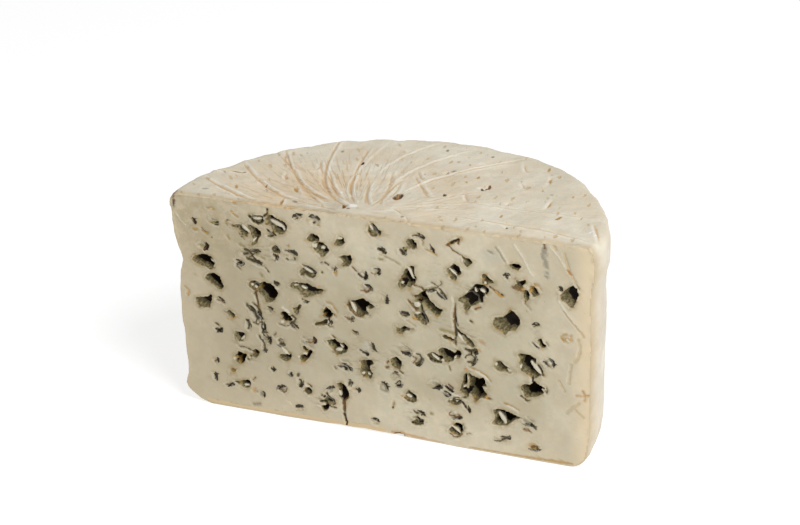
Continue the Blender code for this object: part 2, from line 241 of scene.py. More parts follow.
# Depth and the corners (x, z) of the mouth of each large one, in their order round it
largeCaves = [
    (6, (-88.9, 70.8), (-87.6, 72.8), (-85, 73.8), (-82.8, 74.4), (-79.2, 73.6), (-77.4, 71), (-78.7, 69.6),
     (-79, 67.8), (-80.4, 67.3), (-82, 68.6), (-85.5, 69)),
    (6.5, (-83.2, 63), (-81.6, 65), (-80.3, 65.5), (-78.4, 65.5), (-75.9, 64.6), (-75.2, 62.2), (-74.2, 60.2),
     (-75.8, 58.2), (-77.4, 58.8), (-79.2, 60.2), (-81.4, 61.4)),
    (3.4, (-88.8, 52.6), (-85, 53.2), (-82.5, 53.8), (-80.8, 55.4), (-80.4, 54.2), (-81.2, 51.5), (-82, 48.6),
     (-84.5, 48.8), (-87, 48.2), (-88.6, 50.2)),
    (2.4, (-70.6, 91), (-67.5, 90.4), (-64, 90.6), (-62.6, 89), (-60.2, 87.6), (-61, 86), (-62.8, 85.8),
     (-64.2, 87.6), (-65, 89.2), (-68, 89.5)),
    (3.2, (-60.5, 91.5), (-58, 90.7), (-56, 90.3), (-54.5, 89), (-54.2, 87.4), (-55.8, 85.6), (-56.4, 83.4),
     (-59.4, 81.4), (-58, 84.6), (-58.8, 86.6), (-59.2, 88.6)),
    (4, (-51.4, 94.2), (-50.8, 97), (-50.3, 100.2), (-49.8, 97.3), (-47.6, 97.1), (-46.2, 95.7),
     (-43.4, 95.3), (-41.5, 93.4), (-42, 91), (-43.2, 89.6), (-45.4, 88.6), (-47.6, 89.6), (-49.2, 91.6)),
    (1.8, (-59.4, 95.4), (-57, 96), (-53.6, 96.2), (-51, 95.2), (-52.6, 93.4), (-55.4, 92.4), (-57.8, 93.2)),
    (2.8, (-32.7, 87.9), (-31.6, 89.8), (-30.4, 91.1), (-28.8, 91.1), (-26.6, 90.2), (-27, 88.2), (-28.8, 88),
     (-30.6, 87.4)),
    (2.9, (-30.3, 85.2), (-29.4, 87.2), (-27.4, 87.8), (-25, 87.7), (-23.2, 86.4), (-22.4, 84.4), (-24, 82.4),
     (-26.4, 80.6), (-26.6, 82.4), (-28.6, 83)),
    (3, (-20.2, 87.6), (-18.8, 89.6), (-18, 91.2), (-16.6, 92.3), (-15.1, 91), (-14.9, 89.4), (-16.2, 87.8),
     (-17.8, 87.3)),
    (3.2, (-17.6, 82.2), (-15.6, 83.4), (-13.8, 83), (-12.6, 84), (-11.9, 82.2), (-12.4, 80.8), (-13.4, 78.6),
     (-18.4, 77.9), (-15.6, 79.8), (-16.4, 81)),
    (2.2, (-36.4, 71), (-36.6, 73), (-34.8, 75.6), (-32, 75.6), (-29.4, 74), (-29, 72.4), (-30.6, 70.6),
     (-33, 71.6)),
    (2.4, (-42.6, 65.2), (-40.4, 67), (-36.2, 67.2), (-33.5, 67.5), (-29.6, 66), (-25.4, 65.5), (-27, 64),
     (-29.6, 62.8), (-31.8, 61.7), (-35.4, 60.4), (-36.6, 62.4), (-38.6, 64.2), (-40.6, 64.3)),
    (8, (-57.8, 61), (-56.6, 63.4), (-54.8, 65.4), (-52, 64.7), (-49.8, 64.4), (-47.7, 60.6), (-49.4, 57.6),
     (-51.6, 55.8), (-54.8, 55.6), (-54, 57), (-55.8, 58.6)),
    (1.8, (-61.6, 62.4), (-60.8, 64.7), (-58.4, 65), (-55.4, 63.8), (-56.6, 61.8), (-58.6, 60.4),
     (-60.2, 61)),
    (6, (-47.1, 51.9), (-44.6, 52.2), (-42.8, 50.9), (-41.4, 49.4), (-42.4, 48.4), (-44.2, 48), (-44.9, 47),
     (-45.4, 48.4), (-46.6, 48.8), (-45.8, 49.8), (-46.8, 50.8)),
    (2.4, (-41.2, 55.1), (-39.4, 54.9), (-37.4, 57.2), (-36.8, 56.4), (-38.2, 54.2), (-38.6, 51.8),
     (-40.1, 51.6), (-40.7, 53.4)),
    (6, (-24.9, 57.8), (-23.4, 56.4), (-21.8, 54.8), (-23, 53.3), (-24, 52.1), (-25.4, 52.6), (-27.8, 52.7),
     (-26.2, 53.8), (-27, 54.9), (-26, 56.1)),
    (1.8, (-30.8, 48.2), (-30.4, 49.4), (-27.4, 50.2), (-25.2, 52), (-24.6, 49.8), (-26, 49), (-28.6, 48.4)),
    (7.5, (-37.4, 36.7), (-36.4, 37.2), (-35.6, 36), (-34.6, 35.3), (-33.4, 35.8), (-32.6, 34.6),
     (-33.6, 33.4), (-34.2, 32), (-35.4, 30.8), (-36.6, 29.4), (-38.4, 28.9), (-39, 31.6), (-37.4, 32.5),
     (-35.4, 32.6), (-35.4, 34.4), (-37, 35.2)),
    (2.8, (-49, 29.6), (-48.4, 31), (-46, 31.2), (-43.2, 32.2), (-43, 30.6), (-44.2, 28.8), (-46, 27.8),
     (-47.6, 28.4)),
    (7.5, (-71.4, 26.4), (-69.9, 27.6), (-69.4, 28.9), (-68, 29), (-66.8, 28.2), (-65.2, 28.6), (-65.8, 26.8),
     (-66.4, 24.8), (-68, 23.2), (-70.1, 22.2), (-69.2, 24), (-71.4, 23.1), (-70.6, 24.6), (-70, 25.6)),
    (2.3, (-63.9, 27.4), (-61.8, 29), (-62, 30.8), (-60.6, 31.6), (-58.8, 30.8), (-59.3, 28.8), (-60.6, 27.3),
     (-62.2, 27.8)),
    (2.8, (-72.2, 13.6), (-69.4, 13.9), (-67.4, 14.9), (-64.9, 15.3), (-64, 13.8), (-64.8, 11.8), (-66, 11.2),
     (-68.3, 11.4), (-69.4, 12.6)),
    (2, (-70.8, 36.4), (-70.1, 39), (-67.6, 38.8), (-65, 38.4), (-65.2, 36.4), (-67.6, 35.2), (-69.9, 33.2),
     (-70.4, 34.4)),
    (1.8, (-74.2, 47.8), (-72.2, 48.7), (-70.6, 47.7), (-69.6, 46.2), (-71.2, 45), (-72.4, 46.2)),
    (2.2, (-37.6, 14.6), (-37, 16.2), (-35.2, 17), (-34.2, 15.8), (-34.4, 14), (-36, 13.4)),
    (4, (-29.8, 8.6), (-27.8, 8.9), (-26.5, 10), (-26.1, 8.4), (-27.2, 6.8), (-28.5, 6.1), (-29.3, 7.4)),
    (1.6, (-30.4, 11.2), (-28.6, 11.6), (-26.4, 14.2), (-27.4, 15.6), (-23.2, 12.4), (-22.8, 10.8),
     (-24, 9.8), (-26.6, 9.8)),
    (4.8, (-22.4, 20.8), (-20.4, 21.5), (-19.4, 22), (-17.6, 20.5), (-16.5, 18), (-16.3, 15.4), (-17.9, 13.2),
     (-18.6, 10.8), (-19.4, 13.6), (-21.4, 15.4), (-20.6, 17.6), (-20.8, 20)),
    (4, (-26.2, 41.1), (-23.4, 42.2), (-21.4, 42.8), (-19.6, 41.4), (-17.2, 41.6), (-15.7, 39.6),
     (-16.4, 37.4), (-18.6, 36.2), (-21, 35), (-22.5, 36.8), (-23, 38.6)),
    (3.4, (-10.4, 28.2), (-9.8, 30.4), (-9.4, 32.6), (-10, 34.2), (-7.6, 34.8), (-4.8, 35.4), (-3.6, 34),
     (-6, 32.4), (-5.4, 30.4), (-4.4, 29), (-5.2, 26), (-7.4, 26.6), (-8.8, 26.4)),
    (3, (4.2, 37.2), (5.4, 38.5), (7.4, 38.8), (9.3, 37.2), (9, 35.2), (8.4, 33), (6.4, 33.4), (5, 34.4),
     (4.6, 35.6)),
    (2.8, (11.4, 22.9), (12.3, 23.5), (15.9, 21.4), (15.8, 19.4), (14, 18.4), (12, 18.8), (10.6, 20.4)),
    (1.6, (13.4, 8.2), (14.8, 9.4), (15.2, 10.8), (16.2, 11.6), (17.4, 10.4), (18.8, 10.2), (18.6, 8.4),
     (16.8, 7.4), (14.8, 7.6)),
    (1.8, (-4, 95.6), (-3.8, 98.4), (-2, 100), (-0.4, 98.6), (0.8, 97), (2, 96.2), (1.2, 94.8), (-0.8, 93.9),
     (-2.4, 94)),
    (2, (6.8, 53.8), (8.4, 52.8), (9.8, 53), (11.4, 54.4), (13.2, 53.6), (15.2, 53.6), (13, 52.4),
     (11.2, 52.2), (10, 50.2), (7.4, 50.4), (7.4, 52)),
    (7.5, (-15.2, 60), (-14, 62.5), (-11, 62.9), (-7.8, 64.2), (-5, 63), (-3, 61.8), (-0.6, 62.1),
     (-3.2, 60.7), (-4.4, 59.9), (-6, 61), (-6.2, 58.8), (-4.5, 56.9), (-7.2, 57), (-8, 55.5), (-10.6, 55.4),
     (-12.8, 57.6)),
    (6, (12, 80.4), (14, 82.4), (16.6, 82.8), (16.2, 80.2), (17.3, 77.2), (16.4, 74.6), (15, 73.8),
     (14.2, 72.3), (13, 73.6), (10.1, 76.6), (11.4, 78.2)),
    (2.6, (8.9, 74), (9.6, 75.9), (11.4, 76.2), (12.9, 74.2), (12, 72.7), (10.2, 71.6), (9.1, 72.5)),
    (7, (15.7, 69.5), (17.6, 69.7), (19.4, 71.3), (20.4, 72.7), (21.9, 70.8), (22.8, 68.6), (25, 66.6),
     (27, 64.8), (29.5, 64.9), (27.8, 63.3), (27.6, 61.9), (26, 61), (24.4, 62.7), (22.6, 64), (20.6, 65.4),
     (19, 67), (17, 67.4)),
    (2.6, (14.4, 65), (16.2, 67.2), (18.4, 67.4), (19.6, 66), (19.6, 63.4), (18.4, 62.6), (16.8, 62.7)),
    (2.4, (15.2, 61.4), (17.6, 60.4), (18.6, 62.8), (20.2, 63), (21.2, 60.6), (22.5, 58.3), (21.2, 56.4),
     (19.2, 56.4), (18, 58.2), (16.6, 58.4)),
    (2.4, (12.8, 93.2), (14.2, 95.2), (16, 95), (17.6, 93.4), (17.8, 91.6), (16.2, 90.2), (14.4, 91.2)),
    (2.2, (31.2, 94.5), (33, 95.4), (34.8, 96.4), (36.2, 96.8), (37.6, 98.4), (36, 98.2), (34.2, 97.3),
     (32.4, 96.2)),
    (2.4, (38.2, 90.2), (40.6, 89.8), (42.6, 88.6), (40.2, 85.9), (38.3, 87.2)),
    (3.2, (30.6, 83.6), (32.4, 85), (34.2, 86.6), (36.4, 85.3), (37.4, 82.6), (35.6, 81), (34.8, 78.8),
     (33, 79.2), (31.8, 81.2)),
    (2.2, (46.6, 83.6), (48.2, 83.8), (49.4, 82.4), (52, 80.5), (50.2, 79.8), (48.4, 79.3), (46.2, 79.4),
     (46.8, 81.4)),
    (4.6, (34.8, 70.4), (38.2, 72.2), (40.2, 74.6), (42, 76.8), (43.8, 78.6), (47.6, 78.6), (49.4, 77),
     (48.6, 75), (46.6, 73.6), (47, 71.1), (45, 70.5), (43.6, 69.2), (41.2, 68.4), (40.8, 67), (39.4, 65),
     (37.8, 67.2), (38.2, 69)),
    (3.6, (28.2, 52.5), (29.4, 53.1), (31.6, 52.3), (34.2, 51.4), (33.6, 50.2), (31.6, 50.9), (29.2, 51.4)),
    (2.6, (35.2, 56.6), (38.4, 54.6), (41.2, 52.6), (42.8, 50.4), (41.8, 48.6), (39.8, 50.5), (38, 52.4),
     (36.4, 54.2)),
    (5, (26.4, 45.2), (28.2, 47), (31.4, 46.2), (34.2, 45.3), (34.8, 46.8), (36.3, 47), (36.8, 45.2),
     (35.3, 42.3), (33.6, 43.2), (32.8, 41.3), (30.8, 40.2), (28.4, 40.6), (27.2, 42.8)),
    (2.6, (21.2, 42), (22.8, 43.8), (24.6, 43.9), (27.4, 42.3), (28.6, 40.8), (26.6, 39.2), (24, 39.2),
     (22.4, 40.2)),
    (9, (39, 37.2), (40.4, 36.6), (42.4, 35.6), (44.8, 34.8), (46.8, 35.8), (47.3, 33.6), (48.2, 31.6),
     (45.8, 31.8), (46.6, 30), (48.1, 27.8), (46.8, 26.2), (44.8, 25.8), (43.8, 24.2), (42.5, 23.4),
     (42, 25.4), (41, 26.8), (39.6, 27.8), (40.2, 31.4), (40.6, 33.4)),
    (3.8, (37.8, 35.8), (39, 36.6), (39.5, 33), (38.5, 31), (39.8, 29), (40, 26.4), (38.6, 24.2), (37.4, 27),
     (35.8, 27.4), (36.6, 30.2), (37.4, 32.4)),
    (2.6, (29.8, 21.2), (31.6, 23.3), (33.4, 23.6), (36.2, 23.3), (38.4, 21.6), (36, 21.3), (34.6, 20.4),
     (32.6, 20.2)),
    (4.6, (30.2, 7.4), (31.8, 9.3), (33.2, 11.2), (34.4, 12), (36.6, 11.4), (36.9, 8.4), (35.8, 6.4),
     (34.6, 5.4), (32.4, 6.2)),
    (3, (51.4, 41.6), (52.1, 44.6), (54.2, 44.8), (55.8, 43.3), (58, 42.2), (60.6, 41), (58.2, 40),
     (56, 40.5), (54.2, 39.9), (52.6, 40.6)),
    (6, (61.4, 49.2), (64.2, 50), (67.4, 49.8), (70, 48.4), (69.6, 46.6), (71.8, 45), (73.4, 41.6),
     (71, 40.4), (69.4, 39.2), (66.8, 40.2), (63.6, 41.9), (62.3, 43.4), (62.6, 45.4), (63.2, 47.6)),
    (7.5, (63, 34), (64.8, 35.6), (67.4, 35.9), (69.2, 37.9), (71.4, 36.3), (73.6, 35.8), (74, 34.2),
     (72.7, 32.5), (70.4, 31), (68.8, 30.4), (66.8, 30.2), (65.1, 29.2), (64.7, 31.6)),
    (6, (50.8, 21), (53.2, 21.8), (55.6, 21.7), (58, 21.1), (60, 20.3), (63.4, 19.5), (60.4, 18.1),
     (58.6, 16.2), (57, 14.6), (54, 14.2), (50.1, 14.3), (51.8, 16.8), (51.6, 19)),
    (4, (58, 89.5), (60, 90.2), (62.6, 90.2), (63.6, 89.4), (62.2, 88), (60.2, 87.8), (59, 88.4)),
    (2.6, (60, 80), (61.8, 81.6), (60.8, 83.9), (62.8, 82.5), (65.3, 83.9), (65.6, 82.4), (63.9, 81.2),
     (64.6, 80.2), (62.8, 79.4), (61.6, 78.2), (61, 79.4)),
    (2.2, (64.2, 78.6), (65.8, 79.6), (67.1, 77.8), (66.9, 75.8), (65.4, 73.8), (64.5, 76.2)),
    (2.2, (67.2, 80.4), (68.4, 81.5), (70.3, 80), (71.2, 78.1), (69.8, 77.2), (68.3, 76.5), (67.8, 78.8)),
    (3.4, (80, 79.2), (81.4, 80.8), (83.4, 82.7), (85.6, 84.3), (87.3, 83), (87.7, 80.4), (86.7, 77.4),
     (85.7, 74.6), (84.5, 74.1), (82.6, 76), (80.4, 77.2)),
    (3.4, (50.8, 60.7), (51.8, 64.8), (55.2, 65.2), (57, 66.6), (58.4, 69.2), (60.4, 68.5), (62.4, 66),
     (63, 63.8), (61.7, 61.4), (60.7, 60.1), (57.8, 59.5), (56.2, 57.1), (54.8, 58.7), (52.4, 59.6)),
    (3.6, (70.4, 57.3), (72, 58), (73.1, 56.5), (74.5, 55.1), (72.5, 53.9), (71.8, 55.4)),
    (1.6, (-74.4, 17.2), (-73.7, 19.4), (-72.8, 20.5), (-72.3, 19.4), (-70.6, 20), (-72.2, 18.2),
     (-73.4, 18)),
    (1.4, (5, 29), (6.2, 30.4), (7.5, 30.6), (9.5, 28.7), (7.8, 28.7), (6.6, 28.8)),
]

# x, z, width, height, lean in degrees and depth of the small ones
smallCaves = [
    (-62, 77.4, 6.5, 3, -8, 1.2), (-57.6, 78.6, 4, 2, 5, 1.3), (-58, 74, 7, 1.8, -16, 1.3),
    (-66, 73.4, 3.4, 1.6, -15, 1.2), (-83.3, 78.5, 4, 2.6, 0, 1), (-49.4, 88.1, 3.4, 2.2, 10, 1.2),
    (-47.4, 81.6, 3.8, 2.8, -15, 1.8), (-48, 78.3, 1.5, 2.6, -25, 1.3), (-40.3, 79.6, 4.2, 4, 0, 0.7),
    (-42, 46.4, 4.6, 1.6, -20, 1.3), (-24.4, 50.4, 2.4, 3.2, 0, 1.3), (-47.8, 37.3, 2.6, 3.2, 0, 1),
    (-48.2, 13.3, 3.8, 2.8, 5, 1.2), (-25.2, 17, 4.6, 1.7, 45, 0.9), (-17.4, 29.8, 6, 2, -14, 1.2),
    (0.5, 23, 3, 3.8, 15, 0.6), (7.6, 26.4, 2.5, 2.6, 0, 1.1), (11.7, 43.2, 5, 2.8, -28, 1),
    (16.8, 39.6, 3.6, 5, 0, 1), (7.3, 0.6, 5.4, 2.4, 0, 2), (-20.9, 76.2, 2.2, 1.6, 20, 1.5),
    (-7.5, 75.4, 3.6, 2.8, -10, 1.2), (-1.2, 78, 3.6, 2.8, 10, 1), (1.8, 88, 3.2, 1.5, -25, 1.4),
    (-5.8, 69, 4.4, 2.8, 5, 0.8), (2, 66.2, 4.2, 2.4, -45, 0.6), (28.8, 72.6, 4.6, 1.6, -50, 1),
    (24.2, 74, 5.6, 1.4, 20, 0.8), (11.3, 88.7, 2.4, 2.4, 0, 1.2), (18.6, 96.6, 4, 1.2, -5, 0.8),
    (24.4, 91.4, 1.8, 0.9, -55, 1.4), (41, 47.2, 4.6, 2.2, 0, 1.4), (41, 43.6, 4.2, 3.8, 0, 1),
    (30.6, 28, 3.6, 1.2, -35, 1.2), (30.2, 25.5, 3.2, 1, -25, 1.2), (24.8, 28.8, 5.2, 2.4, -5, 1),
    (33.2, 15.3, 5, 2, -10, 0.6), (75.4, 47.3, 4, 3.4, 0, 1.2), (57.3, 84, 1.8, 1.6, 0, 1.1),
    (80.3, 81.3, 1.4, 1.2, 0, 1.2), (69.8, 63.6, 2.2, 1.2, 25, 1.2), (55, 7.4, 5.6, 1.4, 22, 0.9),
    (-82.1, 14.4, 1.1, 3, 0, 1.2), (-80.8, 22.6, 2, 1, 25, 0.8), (-53, 23, 1.6, 1.4, 0, 1.1),
    (-43.8, 22.4, 1.5, 1.4, 0, 1.1), (-39.5, 18.6, 1.6, 3.4, -10, 0.9), (-78.6, 39, 2.6, 2.4, 0, 1.2),
    (-63.4, 43, 1.6, 3.6, 10, 1), (-76.4, 53, 3, 1.2, -15, 0.6), (-36.3, 97.8, 3.6, 1.7, 35, 0.9),
    (-28.6, 97.2, 4.6, 4, 0, 0.8), (-33.4, 40.2, 4.6, 1.8, 15, 0.8), (-52.3, 52, 2.2, 2.4, 0, 1),
    (-48, 64.7, 2, 1.3, 0, 1.2), (-8.2, 38.8, 3.4, 1, -25, 1.1), (-15.8, 22, 1.2, 2.6, -20, 1),
    (-12.4, 19.8, 2.4, 1, -8, 1), (66.4, 18.2, 4.4, 2.6, -10, 0.6), (-87.4, 89.5, 2.4, 2, 0, 0.8),
    (-76.8, 91, 3.6, 1.3, -15, 0.7), (-55.2, 37.2, 4, 3.6, 0, 1.4), (-56.2, 43, 1.7, 3.6, 0, 1.4),
    (-60, 48.6, 2.6, 7.4, 32, 1.2), (-56, 33.4, 1, 3.6, 5, 1.2), (-40, 5, 3, 2.6, 0, 0.5),
    (-4, 5.2, 2.4, 2.4, 0, 0.5), (-14.5, 54, 3.4, 1.4, 0, 0.7), (-75.2, 11.8, 4, 1, 18, 0.7),
    (-59, 9.3, 2, 1.8, 0, 0.6), (-12, 47, 2, 1.2, 0, 0.7), (-5, 42.4, 3.4, 2.2, -30, 0.8),
    (16.6, 13.2, 4.2, 1.6, 0, 0.8), (69.4, 6.6, 4.4, 2.2, 0, 0.5), (-34.6, 59.5, 1.8, 0.9, -15, 1),
    (11.3, 59.4, 3.6, 1.8, 0, 0.6), (38.9, 19.9, 3.4, 0.9, -50, 1.2),
]


def roughen(shape, seed):
    shape.normal_update()
    length = caves["jaggedLength"]
    for vert in shape.verts:
        place = vert.co / length + Vector((seed, 0, 0))
        vert.co += vert.normal * caves["jagged"] * (noise.noise(place) + 0.6 * noise.noise(place * 2.3))


def lumpShape(seed, size, middle, lean):
    draw = random.Random(seed)
    lump = bmesh.new()
    bmesh.ops.create_icosphere(lump, subdivisions=2, radius=1)
    for vert in lump.verts:
        vert.co *= draw.uniform(1 - caves["uneven"], 1 + caves["uneven"])
    bmesh.ops.subdivide_edges(lump, edges=lump.edges, cuts=1, use_grid_fill=True, smooth=0.3)
    bmesh.ops.scale(lump, verts=lump.verts, vec=size)
    bmesh.ops.rotate(lump, verts=lump.verts, matrix=Matrix.Rotation(-math.radians(lean), 3, "Y"))
    bmesh.ops.translate(lump, verts=lump.verts, vec=middle)
    roughen(lump, seed)
    return lump


def mouthMiddle(corners):
    return Vector((sum(x for x, z in corners), 0, sum(z for x, z in corners))) / len(corners)


def cragShape(seed, depth, corners):
    middle = mouthMiddle(corners)
    crag = bmesh.new()
    front = crag.faces.new([crag.verts.new((x, -1, z)) for x, z in corners])
    drift = Vector((1, 0, 1)) * caves["drift"] * math.sqrt(front.calc_area())
    floor, before = front, 1.0
    for depthShare, sizeShare in caves["rings"]:
        grown = bmesh.ops.extrude_face_region(crag, geom=[floor])["geom"]
        if floor is not front:
            crag.faces.remove(floor)
        floor = next(part for part in grown if isinstance(part, bmesh.types.BMFace))
        shrink = Vector((1, 1, 1)) * sizeShare / before
        bmesh.ops.scale(crag, verts=floor.verts, vec=shrink, space=Matrix.Translation(-middle))
        before = sizeShare
        for vert in floor.verts:
            vert.co.y = depth * depthShare
        middle += drift * (depthShare > 0)
        bmesh.ops.translate(crag, verts=floor.verts, vec=drift * (depthShare > 0))
    bmesh.ops.triangulate(crag, faces=crag.faces)
    bmesh.ops.subdivide_edges(crag, edges=crag.edges, cuts=2, use_grid_fill=True)
    bmesh.ops.triangulate(crag, faces=crag.faces)
    bmesh.ops.recalc_face_normals(crag, faces=crag.faces)
    roughen(crag, seed)
    return crag


caveSpots = []    # x, z, width, height, lean and depth of each cave's mouth, for the mould
for number, (depth, *corners) in enumerate(largeCaves):
    toolObject(f"cave.{number:03d}", cragShape(caves["seed"] + number, depth, corners))
    middle = mouthMiddle(corners)
    reach = max(math.hypot(x - middle.x, z - middle.z) for x, z in corners)
    caveSpots.append((middle.x, middle.z, 2 * reach, 2 * reach, 0, depth))
for number, (x, z, width, height, lean, depth) in enumerate(smallCaves, len(largeCaves)):
    inward = depth / (1 + caves["sink"])
    middle = Vector((x, caves["sink"] * inward, z))
    size = Vector((width / 2, inward, height / 2))
    toolObject(f"cave.{number:03d}", lumpShape(caves["seed"] + number, size, middle, lean))
    caveSpots.append((x, z, width, height, lean, depth))

# The opened needle holes: x and z of both ends, radius
needleHoles = [
    (-58.8, 60, -56.2, 40, 0.7), (-18.7, 15, -18, 1, 0.7), (34.2, 68, 34.6, 53, 0.7),
]

needleLook = {"sides": 10, "rings": 24, "waver": 0.3, "waverLength": 2.2}


def needleTool(number, row):
    startX, startZ, endX, endZ, radius = row
    start, end = Vector((startX, 0, startZ)), Vector((endX, 0, endZ))
    rod = bmesh.new()
    bmesh.ops.create_cone(
        rod, cap_ends=True, segments=needleLook["sides"], radius1=radius, radius2=radius,
        depth=(end - start).length)
    rodEdges = [edge for edge in rod.edges if abs((edge.verts[0].co - edge.verts[1].co).z) > 1]
    bmesh.ops.subdivide_edges(rod, edges=rodEdges, cuts=needleLook["rings"])
    bmesh.ops.rotate(rod, verts=rod.verts, matrix=(end - start).to_track_quat("Z", "Y").to_matrix())
    bmesh.ops.translate(rod, verts=rod.verts, vec=(start + end) / 2)
    for vert in rod.verts:
        vert.co += needleLook["waver"] * noise.noise_vector(vert.co / needleLook["waverLength"])
    toolObject(f"needle.{number}", rod)


for number, row in enumerate(needleHoles):
    needleTool(number, row)

# The dents in the top: x, distance behind the cut, width, length, depth
topDents = [
    (-29.8, 56.3, 1.4, 3.4, 1.6), (-0.3, 25, 4, 7.4, 2.4), (18, 33, 1.8, 3.2, 1.6), (31.6, 44.6, 2.2, 3.4, 2),
    (33.2, 47.4, 1.6, 4.6, 1), (-18.2, 9, 1.8, 5, 2), (10, 57, 3, 4.4, 1), (47, 32, 2.6, 2.2, 0.9),
    (-55, 32, 3.2, 2.4, 0.9), (-80, 30, 8, 1.8, 0.9), (54, 8.5, 3, 2.2, 0.9),
]

for number, (x, behind, width, length, depth) in enumerate(topDents):
    middle = Vector((x, behind, wheel["height"]))
    size = Vector((width / 2, length / 2, depth))
    toolObject(f"dent.{number}", lumpShape(caves["seed"] - number - 1, size, middle, 0))

cutters = bpy.data.collections.new("cutters")
scene.collection.children.link(cutters)
for tool in [tool for tool in workshop.objects if tool is not body]:
    workshop.objects.unlink(tool)
    cutters.objects.link(tool)
hollow = body.modifiers.new("hollow", "BOOLEAN")
hollow.operand_type = "COLLECTION"
hollow.collection = cutters
hollow.operation = "DIFFERENCE"
hollow.solver = "MANIFOLD"
bakeModifiers(body)
wallShape = bmesh.new()
wallOwner = []
for number in range(len(largeCaves) + len(smallCaves)):
    wallShape.from_mesh(cutters.objects[f"cave.{number:03d}"].data)
    wallOwner += [number] * (len(wallShape.faces) - len(wallOwner))
wallTree = BVHTree.FromBMesh(wallShape)
wallShape.free()
for tool in list(cutters.objects):
    bpy.data.objects.remove(tool)
print("caves, needle holes and dents opened:", len(body.data.polygons), "faces")

# Tongues of wet paste in and beside the caves
tongueLook = {
    "proud": 0.2,
    "front": 0.8,
    "root": 0.8,
    "sunk": 0.5,
    "uneven": 0.15,
    "whiteEdge": (0.75, 1.15),         # where its white fades out, as shares of its size
    "whiteDepth": (1.4, 2.2),          # and how deep in
}

# x, z, length, width, lean in degrees
tongues = [
    (-46.4, 93.7, 7.2, 2.2, -24), (-43.3, 91.9, 2.4, 1.2, -70), (-55.6, 94.8, 4.6, 1.3, 4),
    (-52.4, 95.2, 2, 1.2, 70), (-61.4, 89.7, 5, 1.4, -42), (-78.9, 71.8, 2.8, 0.9, -28),
    (-32.8, 73.9, 5.2, 1.2, -25), (-35.2, 65.4, 3, 1.2, -25), (-39, 66, 2.6, 0.8, 10),
    (-25.2, 85.5, 2.4, 1.7, 10), (-28.6, 85.9, 2.4, 1.2, 70), (-44.2, 53.2, 4.6, 1.5, -35),
    (-46.4, 47.3, 1.8, 1.2, 20), (-36.2, 33.5, 2.2, 1, 10), (-39.4, 31.4, 1.6, 0.9, 20),
    (-45.8, 33, 5.2, 1.3, -45), (-66.6, 36.2, 4, 0.9, 50), (-71.3, 25.2, 1.6, 1, 70),
    (-66.4, 12.6, 3, 0.9, 5), (-36.2, 17.3, 2.6, 1, -25), (-30.9, 8.3, 2.4, 1, -20), (-28.4, 9.9, 2, 0.8, 0),
    (-20.3, 16.6, 3, 0.9, 105), (-20, 37.8, 3.4, 1.8, 10), (-18.8, 40, 2.8, 0.9, -50),
    (-25.6, 40.6, 2.2, 0.7, -40), (-8.8, 28.4, 1.4, 1.1, 0), (-6.2, 28.4, 2, 1.2, -30),
    (-12.2, 59.8, 5.8, 1.4, -65), (14.9, 79.6, 7, 1.3, -66), (10.8, 74.4, 1.3, 1.2, 0),
    (17.4, 65.3, 3.2, 2.6, 0), (17.6, 61.6, 2.4, 0.9, 0), (33.8, 82.6, 5.8, 0.9, -42),
    (33.2, 70.5, 4, 1.4, -70), (35.2, 98.1, 2.4, 0.8, 20), (43.4, 75.8, 2.8, 0.9, -65),
    (46.6, 76.1, 2.8, 1.3, -25), (36.6, 53.4, 5.4, 1.1, -54), (25, 41.9, 4.6, 1.4, -38),
    (34, 43.3, 1.4, 1, 45), (28.2, 40.9, 1.4, 0.9, 0), (46, 36.9, 8.2, 1.4, -32), (38.2, 30.2, 2.6, 0.9, 50),
    (34.4, 25, 6.6, 1.1, -14), (31.8, 22.6, 1.6, 0.8, 50), (34.4, 22.3, 1.6, 0.8, 0),
    (33.8, 8.6, 5.6, 1.3, -40), (52.4, 43, 1.8, 0.9, 80), (58, 41.4, 2.4, 0.7, -15),
    (69.8, 44.4, 7.4, 2, -50), (63.2, 43.8, 2, 0.9, 85), (68, 38.6, 1.6, 0.8, 60), (54.8, 17.9, 6.8, 2, -58),
    (73, 34.4, 1.8, 1, -30), (75.8, 47.3, 2.2, 1.6, 0), (70.6, 55.2, 2.6, 0.8, -45),
    (83.6, 59.4, 2.2, 1.1, -45), (-17, 90.8, 2.6, 1.2, 15), (-2.5, 97.8, 3.2, 1.1, -65),
    (47.8, 79.9, 1.4, 0.9, -30), (12.4, 20.9, 2.8, 1.5, -25), (58.5, 84.2, 1.3, 1, 0),
    (-60.2, 63.1, 1.5, 1.1, 0), (-58.4, 62.2, 1.6, 0.9, -30), (59.6, 23.4, 6.4, 1, -22),
    (-24.4, 50.6, 1, 1.5, 0), (-7.4, 75.6, 2, 1.5, 0), (-78.4, 39.3, 1.4, 0.8, 0), (-56.2, 43.2, 0.8, 1.3, 0),
    (-57.6, 84.6, 2.4, 0.8, 55), (-29.6, 86, 1, 2, 0),
]


def tongueShape(number, row, floorDepth):
    x, z, length, width, lean = row
    draw = random.Random(number)
    tongue = bmesh.new()
    bmesh.ops.create_icosphere(tongue, subdivisions=3, radius=1)
    for vert in tongue.verts:
        vert.co *= 1 + tongueLook["uneven"] * noise.noise(vert.co * 1.7 + Vector((number, 0, 0)))
    front = tongueLook["front"] * draw.uniform(0.8, 1.2)
    for vert in tongue.verts:
        vert.co.y *= front if vert.co.y < 0 else floorDepth + tongueLook["root"]
    bmesh.ops.scale(tongue, verts=tongue.verts, vec=(length / 2, 1, width / 2))
    bmesh.ops.rotate(tongue, verts=tongue.verts, matrix=Matrix.Rotation(-math.radians(lean), 3, "Y"))
    sunk = tongueLook["sunk"] * draw.uniform(0, 1) if floorDepth > 0.5 else 0
    bmesh.ops.translate(tongue, verts=tongue.verts, vec=(x, front - tongueLook["proud"] + sunk, z))
    return tongue


